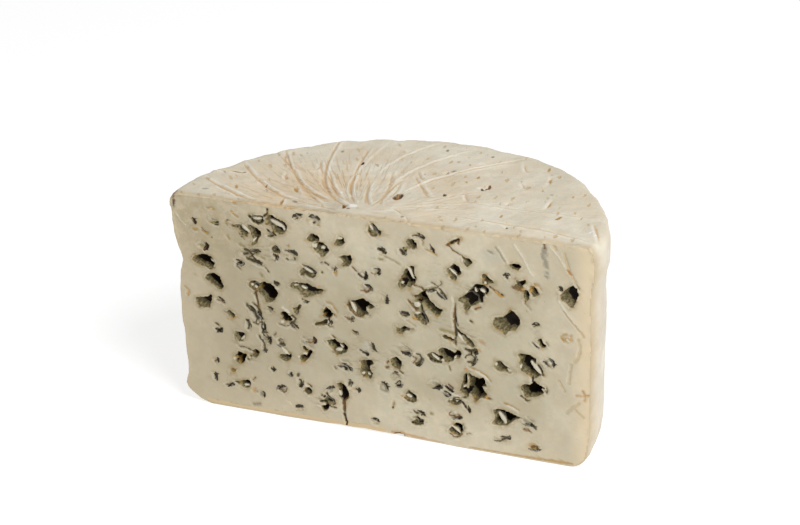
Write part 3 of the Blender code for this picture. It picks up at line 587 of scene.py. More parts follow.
shape = bmesh.new()
shape.from_mesh(body.data)
floorTree = BVHTree.FromBMesh(shape)
for number, row in enumerate(tongues):
    place = floorTree.ray_cast(Vector((row[0], -3, row[1])), Vector((0, 1, 0)))[0]
    tongue = toolObject(f"tongue.{number}", tongueShape(number, row, place.y))
    shape.from_mesh(tongue.data)
    bpy.data.objects.remove(tongue)
shape.to_mesh(body.data)
shape.free()
print("tongues added")

# One even skin over everything
skin = {"voxel": 0.5, "triangles": 190000}

melt = body.modifiers.new("melt", "REMESH")
melt.mode = "VOXEL"
melt.voxel_size = skin["voxel"]
melt.use_smooth_shade = True
bakeModifiers(body)
print("skin:", len(body.data.vertices), "points")

# Creases in the top: start, middle and end (x, distance behind the cut), depth; below 0 for a raised ridge
creaseLook = {
    "deepen": 1.7,
    "width": 0.7,
    "bank": 0.55,          # the raised side of a groove, as a share of its depth
    "bankAway": 1.4,
    "bankWidth": 0.7,
    "step": 0.4,
    "tail": 0.06,          # how far a crease has sunk in already where it starts
    "reach": 4.0,
    "fine": 2.4,           # the skin stays fine this far from a crease
    "paint": 3.6,
    "paintWidth": 0.55,
    "paintBank": 0.6,
}

creases = [
    ((-17.5, 10), (-38, 33), (-50.5, 77), 0.55), ((-16.5, 15), (-26.5, 37), (-33.5, 72), 0.45),
    ((-31, 10), (-50, 31), (-69.5, 60), 0.4), ((-44, 10), (-60, 19.5), (-82, 41), 0.4),
    ((-58, 3), (-72, 9.5), (-90, 19.5), 0.4), ((-33, 23.5), (-37, 29), (-40, 35), 0.3),
    ((-11, 15), (-14.5, 24), (-18.5, 38), 0.35), ((-7.5, 13), (-7, 28), (-13, 50), 0.35),
    ((-4.5, 15), (-6.5, 30), (-5.5, 44), 0.3), ((11, 31.7), (4.7, 39.5), (-1.7, 49.3), 0.35),
    ((-18.8, 49.9), (-15, 72), (-4.7, 91.1), -0.2), ((-8.3, 30.3), (-4.2, 58.7), (11.7, 86), -0.2),
    ((0.5, 31.2), (10.8, 54.3), (37.6, 83.4), -0.24), ((-19, 20), (-27.5, 38), (-29, 84), -0.2),
    ((-56.8, 40.9), (-62, 49), (-67.5, 58.6), -0.18), ((2, 12.5), (5, 11.5), (9.5, 7), 0.25),
    ((-48, 50), (-45, 45), (-41, 38), 0.3), ((-70, 28.5), (-66.5, 25.5), (-63.5, 22), 0.35),
    ((-81, 13.5), (-74, 10), (-66, 6), 0.35), ((-96, 30), (-80, 30.5), (-76, 31.5), 0.3),
    ((28, 13.5), (46, 12.5), (70, 10.5), 0.2), ((30, 28.5), (52, 28), (84, 29.5), 0.18),
    ((63.5, 42), (64, 37), (63.8, 33), 0.25), ((55.5, 66), (56.5, 62), (57, 57), 0.25),
    ((87.5, 23), (90.5, 16), (93.5, 9), 0.3), ((-39, 19), (-47, 27), (-54, 36.5), 0.4),
    ((-31, 10), (-38, 17), (-46, 24), 0.35), ((-54, 37), (-61, 45), (-68, 52), 0.35),
    ((26, 38), (28, 33), (30.5, 29), 0.25), ((40, 76), (41.5, 72), (43.5, 69), 0.25),
    ((45.5, 56), (47, 53), (48.5, 50.5), 0.22), ((9, 9), (12, 5), (14, 1.5), 0.2),
    ((-9, 14.5), (-12.5, 20), (-15.5, 27.5), 0.35), ((-24, 17.5), (-31, 26.5), (-37, 37), 0.3),
    ((-27, 13), (-36, 17.5), (-43, 23.5), 0.35), ((-45, 2), (-46.3, 6), (-47, 10), 0.3),
    ((-43.5, 17), (-45.2, 19.5), (-47, 23.5), 0.3), ((-62.5, 45), (-66, 52), (-69, 60), 0.25),
    ((-57.5, 35), (-56.5, 32), (-54.8, 29), 0.3), ((-47, 43.5), (-46.6, 47.5), (-49.5, 53.5), 0.3),
    ((-7, 20), (-7.4, 33), (-10.5, 46), 0.22), ((-4, 20), (-3.6, 31), (-5.5, 42), 0.22),
    ((3, 47), (0.5, 49.5), (-2.5, 55), 0.25), ((12.5, 29), (8.5, 33.5), (4, 42), 0.3),
    ((14, 24), (22, 33), (31, 41), 0.2), ((10, 19), (24, 26), (40, 32), 0.2),
    ((6, 15), (16, 18), (30, 21), 0.18), ((-34, 6.5), (-27, 5.5), (-19, 3.5), 0.25),
    ((60, 12.5), (74, 10), (90, 6.5), 0.22), ((13, 57), (21, 66), (32, 76), 0.25),
]


def creasePoints(start, middle, end):
    first, through, last = Vector(start), Vector(middle), Vector(end)
    bend = 2 * through - (first + last) / 2
    count = max(2, int((last - first).length / creaseLook["step"]))
    tail = creaseLook["tail"]
    for step in range(count + 1):
        t = step / count
        point = (1 - t) ** 2 * first + 2 * t * (1 - t) * bend + t * t * last
        heading = (2 * (1 - t) * (bend - first) + 2 * t * (last - bend)).normalized()
        yield point, heading, math.sin(math.pi * (tail + (1 - 2 * tail) * t)) ** 0.5


def traceCreases(points):
    tree = flatTree([(index, point.x, point.y) for index, point in points.items()])
    nearest = {}
    for start, middle, end, depth in creases:
        for point, heading, strength in creasePoints(start, middle, end):
            for co, index, distance in tree.find_range((point.x, point.y, 0), creaseLook["reach"]):
                if distance < nearest.get(index, (creaseLook["reach"] + 1,))[0]:
                    side = (co.x - point.x) * heading.y - (co.y - point.y) * heading.x
                    nearest[index] = (distance, side, depth * strength)
    return nearest


def creaseDrop(distance, side, depth):
    groove = bell(distance, creaseLook["width"])
    bank = creaseLook["bank"] * bell(side - creaseLook["bankAway"], creaseLook["bankWidth"])
    return creaseLook["deepen"] * depth * (groove - bank)


# Strokes in the cut, by tint: width, and the points (x, z) that each one passes
strokes = {
    "olive": [
        (0.5, (-85.3, 78.4), (-83.4, 77.6)), (0.6, (-70.6, 84.4), (-70, 83.4)),
        (0.7, (-64.6, 81.6), (-62.8, 80.8)), (0.7, (-78.6, 90), (-75, 89.7)),
        (0.6, (-57.6, 77.9), (-53.4, 76.4)), (0.8, (-64.6, 81.4), (-63, 81)),
        (0.8, (-27.2, 95.6), (-26.6, 95.4)), (0.9, (1, 83.8), (2.2, 84)), (0.9, (12.6, 90.4), (13.6, 90.8)),
        (0.5, (-26.6, 41.2), (-24.4, 39.2), (-22.6, 38)), (0.5, (-46.2, 34.8), (-43.4, 32)),
        (0.8, (27.4, 55.3), (30.4, 55.2), (33.4, 54.2)), (0.8, (18, 10.2), (18.8, 10.4)),
        (1, (22.2, 14), (22.8, 14)),
    ],
    "umber": [
        (0.5, (-82.6, 76.8), (-81.6, 78), (-81.8, 79.4)), (0.6, (-87.7, 90.3), (-86.8, 89.1)),
        (0.6, (-11.9, 78.2), (-10.8, 77.5), (-9.2, 76.5)), (0.6, (-34.8, 76.2), (-32.4, 75.6), (-30.4, 74.4)),
        (0.9, (-8.5, 67.9), (-7, 68.3), (-5.8, 67.5), (-4.4, 68.2), (-3.3, 69.6)),
        (0.8, (-1.8, 99.5), (-0.7, 98.2), (0.2, 96.9)), (0.6, (-3, 95.2), (-2.1, 94.2), (-0.9, 94.2)),
        (0.5, (20, 96), (20.8, 94.4), (20.6, 93.2)), (0.9, (31.2, 94.6), (32.6, 95.4)),
        (0.8, (36.6, 97), (36.4, 96)),
        (0.6, (32.2, 94.3), (33.8, 92.7), (35, 91.9), (37.4, 91), (38.6, 89.8)),
        (0.5, (-0.5, 77), (-2, 76.4), (-3.2, 77.2)), (0.6, (16.4, 74.2), (19.4, 73.6), (20.8, 72.4)),
        (0.8, (43.2, 67.3), (45.8, 68.5)), (0.6, (49.9, 78.2), (52.6, 77), (54, 76)),
        (0.6, (65.2, 74.2), (65.3, 73.2)), (0.5, (-61.3, 62), (-59.8, 61), (-58.6, 60.6)),
        (0.6, (-59.4, 58.6), (-57.7, 60.5)), (0.7, (-58.6, 59), (-58.2, 56.8), (-57.8, 54.2)),
        (0.5, (-77.8, 53), (-76, 52.8), (-74.8, 51.9)), (0.7, (-23.4, 48.6), (-22.4, 48.6)),
        (0.7, (-22.8, 44.6), (-21.6, 43.6)),
        (0.5, (-14.9, 60.2), (-13.4, 57.8), (-11.6, 56.2), (-9.6, 55.4), (-8, 55.9)),
        (0.6, (-35.4, 39.3), (-33.4, 39), (-31.6, 40.2), (-31, 41.4)),
        (0.6, (-16.3, 54.4), (-14.6, 53.4), (-13, 53.4), (-12.5, 54.4)),
        (0.4, (10, 45.4), (12.4, 44.7), (14.2, 42.8)),
        (0.7, (14.8, 40.5), (16.1, 39.3), (15.4, 38.1), (14.6, 37.2)), (0.8, (3.3, 36.5), (2.8, 35.2)),
        (1, (2.2, 33.3), (3.2, 33.5)), (0.8, (34.6, 68.4), (34.1, 64.4), (33.7, 62)),
        (0.5, (33.8, 61), (34, 57.6), (34.3, 54.6)), (0.7, (14.6, 64.8), (16.6, 62.9)),
        (0.8, (13.4, 66.8), (14.4, 65.4)), (0.5, (70.6, 46.2), (72.2, 43.6), (73, 41.2)),
        (0.8, (-81.6, 22), (-81, 22.6)), (0.6, (-62.8, 15.7), (-61.7, 17.2)),
        (0.5, (-36, 18.5), (-34.2, 17.4)), (0.5, (-49.8, 13), (-48.2, 11.9), (-46.7, 12.7), (-46.5, 14.4)),
        (0.5, (-23.5, 12), (-23, 10.8), (-24, 9.8)), (0.9, (-18.8, 13), (-18.9, 9.2)),
        (0.5, (10.3, 19.8), (12, 18.5)), (0.5, (5.4, 17), (5.1, 15.2)), (0.7, (30.9, 29.6), (32.8, 28.4)),
        (0.5, (30.7, 15.6), (31.7, 16.6)), (0.6, (30.8, 15.1), (35, 14.2), (35.9, 15.6), (34.6, 16.2)),
        (0.7, (64.5, 14), (66.3, 14.4), (67.4, 13.3)), (0.9, (68, 6.3), (69.2, 6.4)),
        (0.8, (70.2, 6.4), (70.6, 5.8)), (0.5, (38.6, 7), (40.6, 7.4)), (0.8, (48.6, 26.4), (49.8, 26)),
        (0.8, (73, 101.8), (73.2, 98.8)),
    ],
    "soot": [
        (0.6, (-82.8, 86.6), (-82.3, 85.3), (-81, 85)), (0.9, (-67.2, 73.9), (-66.4, 73.7)),
        (0.9, (-65.6, 73), (-64.9, 73.4)),
        (0.8, (-59.2, 95.2), (-57.6, 93.4), (-55.4, 92.8), (-53.4, 93.4), (-52.8, 94.8)),
        (0.6, (-52.6, 95), (-52, 96.6), (-50.6, 98), (-50.3, 99.8)), (0.9, (-47.6, 82.8), (-46.2, 82)),
        (0.8, (-35.2, 98.9), (-34.7, 98.5)), (0.9, (-29, 96.2), (-28.5, 96.4)),
        (0.6, (-9.3, 76.3), (-8.9, 74.9), (-7.6, 74), (-6.3, 74.4), (-5.7, 75.6)),
        (0.9, (-30.4, 74.2), (-29.2, 73.4)), (0.9, (0.4, 96.8), (1.5, 96.4), (1.4, 95.3)),
        (0.7, (-3.5, 96.2), (-2.9, 95.4)), (0.7, (24, 92), (24.8, 90.9)),
        (1, (32.8, 95.6), (34.6, 96.8), (36.4, 97.4)),
        (0.8, (-1.6, 78.9), (-0.4, 79), (0.4, 78.2), (-0.4, 77.2)),
        (0.8, (42.3, 76.3), (43.6, 78), (45.6, 78.2), (47.4, 78), (48.9, 76.8), (48.4, 75.2)),
        (0.6, (43.9, 77.6), (44.4, 75.6), (46, 73.8)), (1.1, (41.2, 74.8), (43.4, 72.8), (46.4, 71.2)),
        (0.6, (54.8, 75.8), (55.8, 75.3)), (0.7, (57.6, 84.7), (56.8, 84), (57.4, 83.3)),
        (0.8, (79.9, 81.6), (80.6, 81.2)), (0.8, (-56.8, 50.4), (-56.7, 48.6), (-56.1, 47)),
        (0.6, (-57, 44.8), (-57.1, 42.4), (-56.4, 41.3), (-55.4, 42), (-55.5, 44.6), (-56.3, 45.4)),
        (0.8, (-56, 39.6), (-55.2, 38), (-54.2, 37.6)), (0.7, (-54.8, 36.8), (-53.6, 37.8), (-52.6, 38.8)),
        (0.7, (-79.8, 38.7), (-79, 37.9), (-77.8, 38.1), (-77.3, 39.2)),
        (0.7, (-23.7, 52.2), (-23.5, 50.4), (-24.7, 49), (-23.8, 48.5)),
        (0.8, (-9.9, 39.6), (-8.4, 38.6), (-6.4, 38)),
        (0.6, (21.6, 42.2), (23, 40.5), (24.6, 39.7), (27.4, 39.8)),
        (0.6, (34.2, 62.6), (34.7, 60.8), (35.6, 58.4)), (0.8, (35.5, 56.1), (37.3, 54.7), (38.4, 54.2)),
        (0.9, (19.2, 65.4), (19.8, 62.8), (21, 60.4), (22, 58.2)), (0.8, (41, 46.4), (41.6, 45)),
        (0.7, (68.3, 55.6), (69.6, 54.4), (71.2, 53.5)), (1, (68.6, 39.4), (68.8, 37.6)),
        (0.9, (73.3, 47.7), (74.4, 46.4)), (1.1, (-53.3, 23.1), (-52.8, 22.7)),
        (0.8, (-80.7, 22.8), (-80.1, 23)), (0.8, (-82.4, 15.6), (-81.9, 14.3), (-82.3, 13.1)),
        (1.1, (-43.9, 22.2), (-43.7, 22.6)), (1.1, (-36.1, 15.4), (-35.4, 15.4)),
        (0.7, (-27, 15.2), (-25.6, 13.5), (-23.5, 12.3)), (1.1, (-28.2, 13.3), (-27.7, 13.7)),
        (0.8, (-30.1, 10.9), (-28.6, 11.3), (-27, 10.9), (-26.7, 9.6)),
        (0.9, (-18.8, 6.4), (-18.4, 4.4), (-17.5, 2.6), (-17.8, 0.8)), (0.8, (-14.7, 23), (-14.3, 22.8)),
        (0.8, (-12.8, 19.9), (-11.8, 19.5)), (0.8, (-20.6, 30), (-18.2, 29.4), (-16.6, 28.8)),
        (1, (-17.6, 30.8), (-15.8, 29.9), (-14.6, 28.9)),
        (0.6, (6.2, 25.6), (8.3, 27.7), (8.6, 25.6), (7.2, 25.2), (6.2, 25.6)),
        (0.9, (15.9, 11), (16.5, 10.5)), (0.9, (13.7, 8.2), (14.6, 8.2)), (0.9, (4.8, 14.2), (4.7, 13.8)),
        (0.9, (29.2, 28.6), (30.6, 27.6), (31.9, 26.6)), (0.9, (28.8, 26.2), (30.2, 25.7), (31.6, 24.9)),
        (0.8, (37.4, 22), (38.4, 20.2), (39.7, 18.8)),
    ],
    "ochre": [
        (0.6, (-82.8, 85.4), (-81, 84.6), (-80, 84.8)), (0.8, (-86.8, 85.6), (-85.4, 86)),
        (0.5, (-79.6, 96.8), (-76.6, 96.4)), (0.6, (-67.8, 96.4), (-66.4, 95.2), (-65, 94.4)),
        (0.7, (-19.7, 75.4), (-19.8, 73.6)), (0.6, (21.9, 91.2), (24.6, 90.4), (26.6, 89.2)),
        (1, (68, 80.6), (67.6, 78.8)), (0.7, (-57.4, 53.6), (-57.1, 51)),
        (0.5, (-24.6, 60.1), (-22.4, 59.4), (-20.8, 57.8), (-19.9, 56)), (0.5, (-21.2, 54.6), (-20.8, 53.8)),
        (0.8, (80.9, 60), (81.7, 58.5)), (0.5, (40.6, 39.6), (45, 38.4), (48, 36.8), (49.8, 34.8)),
        (0.5, (55.8, 25.2), (59, 24.2), (62, 22.9)), (0.5, (80.6, 60.6), (81.6, 61.6), (83, 61.8)),
    ],
    "orange": [
        (0.8, (-66.8, 100.8), (-65.4, 100.8)), (0.5, (69.4, 82.4), (70.8, 82.2), (71.8, 80.8)),
        (0.6, (-93.4, 57.2), (-91.6, 55.8), (-92.4, 53.4)), (0.4, (12.7, 57.1), (16.2, 55.3)),
        (0.6, (84.7, 61.6), (85.3, 59.4)), (0.7, (-62.8, 10.2), (-62, 11.8)),
        (0.6, (-14.1, 20.1), (-13.2, 19.9)), (0.6, (90.2, 36.8), (91.4, 34.6), (91, 32.6)),
        (0.5, (87.6, 34.2), (91.4, 34.8), (93.6, 35.2)),
    ],
    "grey": [
        (0.7, (-77.6, 92), (-75.3, 91.2)), (0.6, (-42, 77.7), (-40, 77.5), (-39, 77.8)),
        (0.5, (1, 86.2), (3.5, 85.6), (7.6, 83.8), (10, 82.8)), (0.5, (65.6, 72.8), (67.4, 70.8)),
        (0.7, (49, 94.6), (51.4, 93.7)), (0.4, (52.5, 96.2), (54.4, 93.6), (56.2, 90.8)),
        (0.5, (-36.6, 41.2), (-34.6, 40.4)), (0.6, (-37.4, 38.9), (-34.8, 38.2), (-32.4, 37.1)),
        (0.5, (74.3, 56.9), (75.4, 55.6)), (0.5, (75.4, 49.2), (77.1, 48.4), (77.2, 46.8)),
        (0.7, (-61.6, 10.3), (-61.2, 9.9)), (1.5, (-59.4, 9), (-58.6, 9.6)), (1, (-63.4, 3.4), (-60.4, 4.2)),
        (0.5, (-18.4, 33), (-15.8, 33), (-14.4, 31.6)),
        (0.8, (-0.8, 23.6), (0, 24.9), (1.2, 23.2), (2.4, 21.9), (0.6, 21.2), (-0.8, 22), (-0.8, 23.6)),
        (0.5, (14, 10.8), (15.4, 11)), (0.6, (37.2, 11.6), (38, 9.8), (37, 8.4)),
        (0.4, (-5.4, 5.6), (-3, 6.5), (-3.2, 4.3), (-5, 3.9)), (0.6, (64.4, 19), (65.2, 17.5), (67.2, 17.3)),
        (0.5, (66.4, 20), (68.8, 18.7)),
    ],
    "moss": [
        (1.1, (-62.4, 79.4), (-59.8, 78.8), (-56.2, 79.4)), (0.9, (-63.2, 77), (-61.8, 77.4)),
        (1, (-62.2, 75.6), (-59.8, 74.6), (-57.2, 73.8), (-55, 73.4)),
        (0.6, (-55, 73.6), (-53, 72), (-51.6, 70.4)), (0.7, (-60.6, 75.8), (-58.8, 77.4), (-57.4, 78.4)),
        (0.5, (-66.6, 72.4), (-66.8, 70.8), (-65.4, 69.8)), (0.5, (-57.6, 96.4), (-55.6, 95.8), (-53.6, 96)),
        (0.7, (-50.8, 87.4), (-49.2, 87.2), (-47.9, 88.4), (-48.2, 89.6)),
        (0.6, (-49.4, 82), (-49, 80.6), (-46, 80.2), (-45.6, 81.4)), (1.2, (-48.5, 79.2), (-47.5, 77.4)),
        (1, (-42.7, 78), (-42, 77.8)), (1, (-38.8, 78.6), (-38.7, 77.9)), (0.7, (-42.9, 81.7), (-41.4, 81.5)),
        (0.8, (-37.6, 96.8), (-36.8, 97.2)), (0.7, (-27.6, 99), (-26.7, 98.2), (-26.7, 97.6)),
        (0.8, (-24.4, 78.7), (-22.7, 78)), (0.7, (-26.4, 78.2), (-25.8, 78.6)),
        (0.9, (-36.1, 71.3), (-34.4, 72.6), (-32.8, 71.6), (-30.8, 70.8), (-29.7, 71.6)),
        (1.2, (-26, 73.8), (-25.9, 73.6)), (0.5, (-5.6, 70.8), (-4.2, 70.7), (-3.3, 69.8)),
        (1.3, (0.4, 88.7), (1.7, 88.2), (3, 87.2)), (0.9, (16.2, 96.6), (18.2, 97.1), (19.7, 96.4)),
        (1.1, (10.5, 89.7), (10.8, 88.4), (12.2, 87.8)),
        (0.6, (20.6, 72.6), (22.8, 72.4), (24.8, 74), (27, 74.8)),
        (0.6, (23.8, 76.6), (25.4, 76), (27.2, 75.2), (28.9, 76.6), (28.2, 77.6)),
        (0.7, (27.4, 74.4), (28.6, 72.6), (30.2, 71)),
        (0.6, (-61.4, 62.4), (-60.9, 64.2), (-59.4, 64.8), (-57.4, 64.4)),
        (0.9, (-56.6, 40.6), (-54.4, 40.8)),
        (1.1, (-63.4, 53.4), (-62.4, 51.6), (-61.2, 50.2), (-59.8, 48.6), (-58.8, 46.8), (-59.4, 45)),
        (0.8, (-60.4, 54), (-58.8, 53.2), (-57.8, 51.2), (-57.6, 49)),
        (0.7, (-60.6, 44.6), (-58.6, 44.2), (-57.4, 45.2)),
        (0.9, (-58.3, 38.6), (-57.4, 36.9), (-56.2, 35.4), (-55.8, 32.2)),
        (0.9, (-63.2, 44.4), (-63, 43), (-63.6, 41.3)), (1.3, (-79.4, 41.2), (-78.4, 40.8)),
        (0.5, (-68.4, 34.5), (-66.4, 35), (-65.2, 36)), (1.1, (-48.6, 64.6), (-47.3, 64.8)),
        (0.9, (-41.3, 50.8), (-39.9, 49.8), (-40.6, 48.3), (-42, 47.1), (-43, 46.2)),
        (0.6, (-48.2, 46), (-45.2, 45.5), (-42.6, 46), (-40.8, 45.2)),
        (1.2, (-25.2, 51.2), (-26.4, 50.2), (-28.4, 49.2), (-30.2, 48.6)),
        (0.5, (-48.9, 37.8), (-48.4, 36.2), (-47.2, 35.7), (-46.4, 37)), (0.8, (-48, 38.8), (-47.2, 38.4)),
        (0.7, (-50, 41.2), (-51.2, 39.8)), (0.7, (-36.2, 59.7), (-34.6, 59.2)),
        (0.6, (9.5, 60.1), (10.3, 59), (12, 59), (13.2, 60.3)),
        (1, (16.5, 42.1), (18, 41.6), (18.8, 39.6), (18, 37.9), (15.8, 37)),
        (0.7, (35, 56.6), (34.6, 53.6), (34.4, 51.6), (34.4, 49)), (0.6, (31.3, 38.6), (31.6, 36.9)),
        (1.2, (39, 48), (40.8, 46.8), (43.4, 48.2)),
        (0.8, (38.8, 43.8), (38.8, 44.4), (40.4, 45.4), (43, 44.8), (43, 43), (41.6, 41.7), (39.4, 42.2)),
        (0.9, (41.1, 61.6), (41.8, 60.9)), (0.6, (74.3, 35.8), (75, 34.6), (74.6, 33.2)),
        (0.8, (63.6, 29.9), (65, 29.1), (65.8, 28.1), (67.2, 28.5)), (0.5, (74.6, 46), (76.2, 45.6)),
        (0.7, (69, 63.2), (70.7, 64.2)), (0.6, (-68.8, 31.9), (-66, 31.6), (-64, 31), (-62, 30.4)),
        (1.1, (-56.2, 35.2), (-55.7, 32)), (0.9, (-64.6, 26.2), (-64.3, 25.8)),
        (0.7, (-63.2, 27.6), (-62.8, 26.2)), (0.6, (-77, 11.2), (-75, 11.4), (-73.3, 12.5)),
        (0.8, (-71.9, 13.4), (-70, 12.9)), (1.2, (-40.4, 21.6), (-40, 22.6)),
        (1.1, (-39.7, 19.8), (-39, 18.8), (-40.2, 17)), (0.8, (-37.1, 14.3), (-36, 13.7), (-34.6, 14.2)),
        (0.8, (-29.4, 14.4), (-29, 13.6)), (0.7, (-24, 9.6), (-22.6, 8.8), (-24.6, 8.9), (-26, 9.3)),
        (0.6, (-18.8, 9.2), (-18.7, 6.4)), (1, (-16.1, 21.1), (-15.5, 22.8)),
        (0.9, (-22.2, 29), (-21.8, 28.4)), (0.7, (5.8, 31.6), (6.4, 31)), (0.7, (8.4, 32.2), (10, 31.5)),
        (0.6, (12, 18.5), (14.2, 18.2), (15.8, 19.1)), (0.8, (14.6, 14.2), (15.4, 13.1), (16.2, 12.9)),
        (0.8, (17.8, 12.8), (18.8, 13.7)), (0.8, (14.8, 7.9), (16.8, 7.8), (18.5, 8.6)),
        (0.6, (33, 24), (35.8, 24.2), (38.6, 25)), (0.6, (31, 5.9), (32.8, 4.7), (34.8, 4.9), (36.4, 6.6)),
        (0.8, (51.3, 6.2), (54, 6.4), (55.8, 7.8), (58.4, 9.7)),
    ],
    "rust": [
        (0.6, (83.4, 90.6), (84.8, 88.9)),
    ],
    "tan": [
        (0.5, (80, 39.5), (82.3, 35.5)), (0.5, (81.6, 98), (82.8, 94), (84, 91)),
        (0.5, (84.8, 88.7), (86.6, 85.4), (88, 83)), (0.6, (82, 72), (84.4, 68.6), (87, 66), (90, 62)),
        (0.4, (88, 60), (88.8, 56), (88.2, 52), (86.4, 49.6)), (0.4, (85.2, 48), (84.6, 44), (84, 39.5)),
        (0.4, (83.4, 25.2), (85.6, 27.8), (88.6, 30.6)), (0.4, (86, 28.4), (88.8, 25.6), (90.6, 24.4)),
        (0.5, (77, 101.6), (78, 99)),
    ],
    "pale": [
        (0.8, (60.4, 99), (64.4, 93.6), (66.4, 89.4), (68.6, 86.2)),
        (0.7, (75.6, 100.4), (79.6, 96), (82.4, 91.6)), (0.7, (53.8, 97), (58, 90.6)),
        (0.7, (79.6, 76.6), (84, 70.4), (88.6, 65)), (0.6, (-95, 91.8), (-92.8, 88.8), (-90.8, 87.4)),
    ],
}

strokeLook = {
    "step": 0.3,
    "waver": 0.3,
    "waverLength": 1.8,
    "uneven": (0.5, 1.6),  # how much the width swings, and how many times as fast as the waver
    "soft": 0.7,
    "full": 0.7,           # a groove has its whole depth from this far inside its stroke on
    "groove": 0.30,
    "ridge": 0.18,
    "bank": 0.16,          # the pushed-up paste below and to the left of a groove
    "bankAway": 0.45,
    "bankWidth": 0.45,
}


def placesAlong(points):
    for start, end in zip(points, points[1:]):
        start, end = Vector(start), Vector(end)
        count = max(1, int((end - start).length / strokeLook["step"]))
        for step in range(count + 1):
            yield start.lerp(end, step / count)


# The nearest stroke of each point: how far inside it (0.5 is its edge), its tint, and how much of its bank
def traceStrokes(tree):
    nearest = {}
    swing, fasterBy = strokeLook["uneven"]
    soft = 2 * strokeLook["soft"]
    for tint, rows in strokes.items():
        for width, *points in rows:
            for spot in placesAlong(points):
                cloud = Vector((spot.x, spot.y, 0)) / strokeLook["waverLength"]
                spot += strokeLook["waver"] * noise.noise_vector(cloud).xy
                half = width / 2 * (1 + swing * noise.noise(cloud * fasterBy))
                for co, index, distance in tree.find_range((spot.x, spot.y, 0), half + soft):
                    inside = 0.5 + (half - distance) / soft
                    if inside > nearest.get(index, (-1,))[0]:
                        below = (spot.x - co.x + spot.y - co.y) * 0.7    # to the lower left
                        bank = bell(below - half - strokeLook["bankAway"], strokeLook["bankWidth"])
                        nearest[index] = (inside, tint, 0.0 if tint == "pale" else bank)
    return nearest


# A point's place in a leaning oval: 1 is its rim, along it and across it
def spotOf(across, up, width, height, lean):
    turn = math.radians(lean)
    along = across * math.cos(turn) + up * math.sin(turn)
    beside = up * math.cos(turn) - across * math.sin(turn)
    return along / (width / 2), beside / (height / 2)


# The points in an oval, out to an edge given as a share of its size
def nearPlace(tree, across, up, width, height, lean, edge):
    for co, index, distance in tree.find_range((across, up, 0), max(width, height) / 2 * edge):
        reach = math.hypot(*spotOf(co.x - across, co.y - up, width, height, lean))
        if reach < edge:
            yield index, reach


# Where a stain starts to fade and where it ends, as shares of its size
stainEdge = (0.5, 1.5)

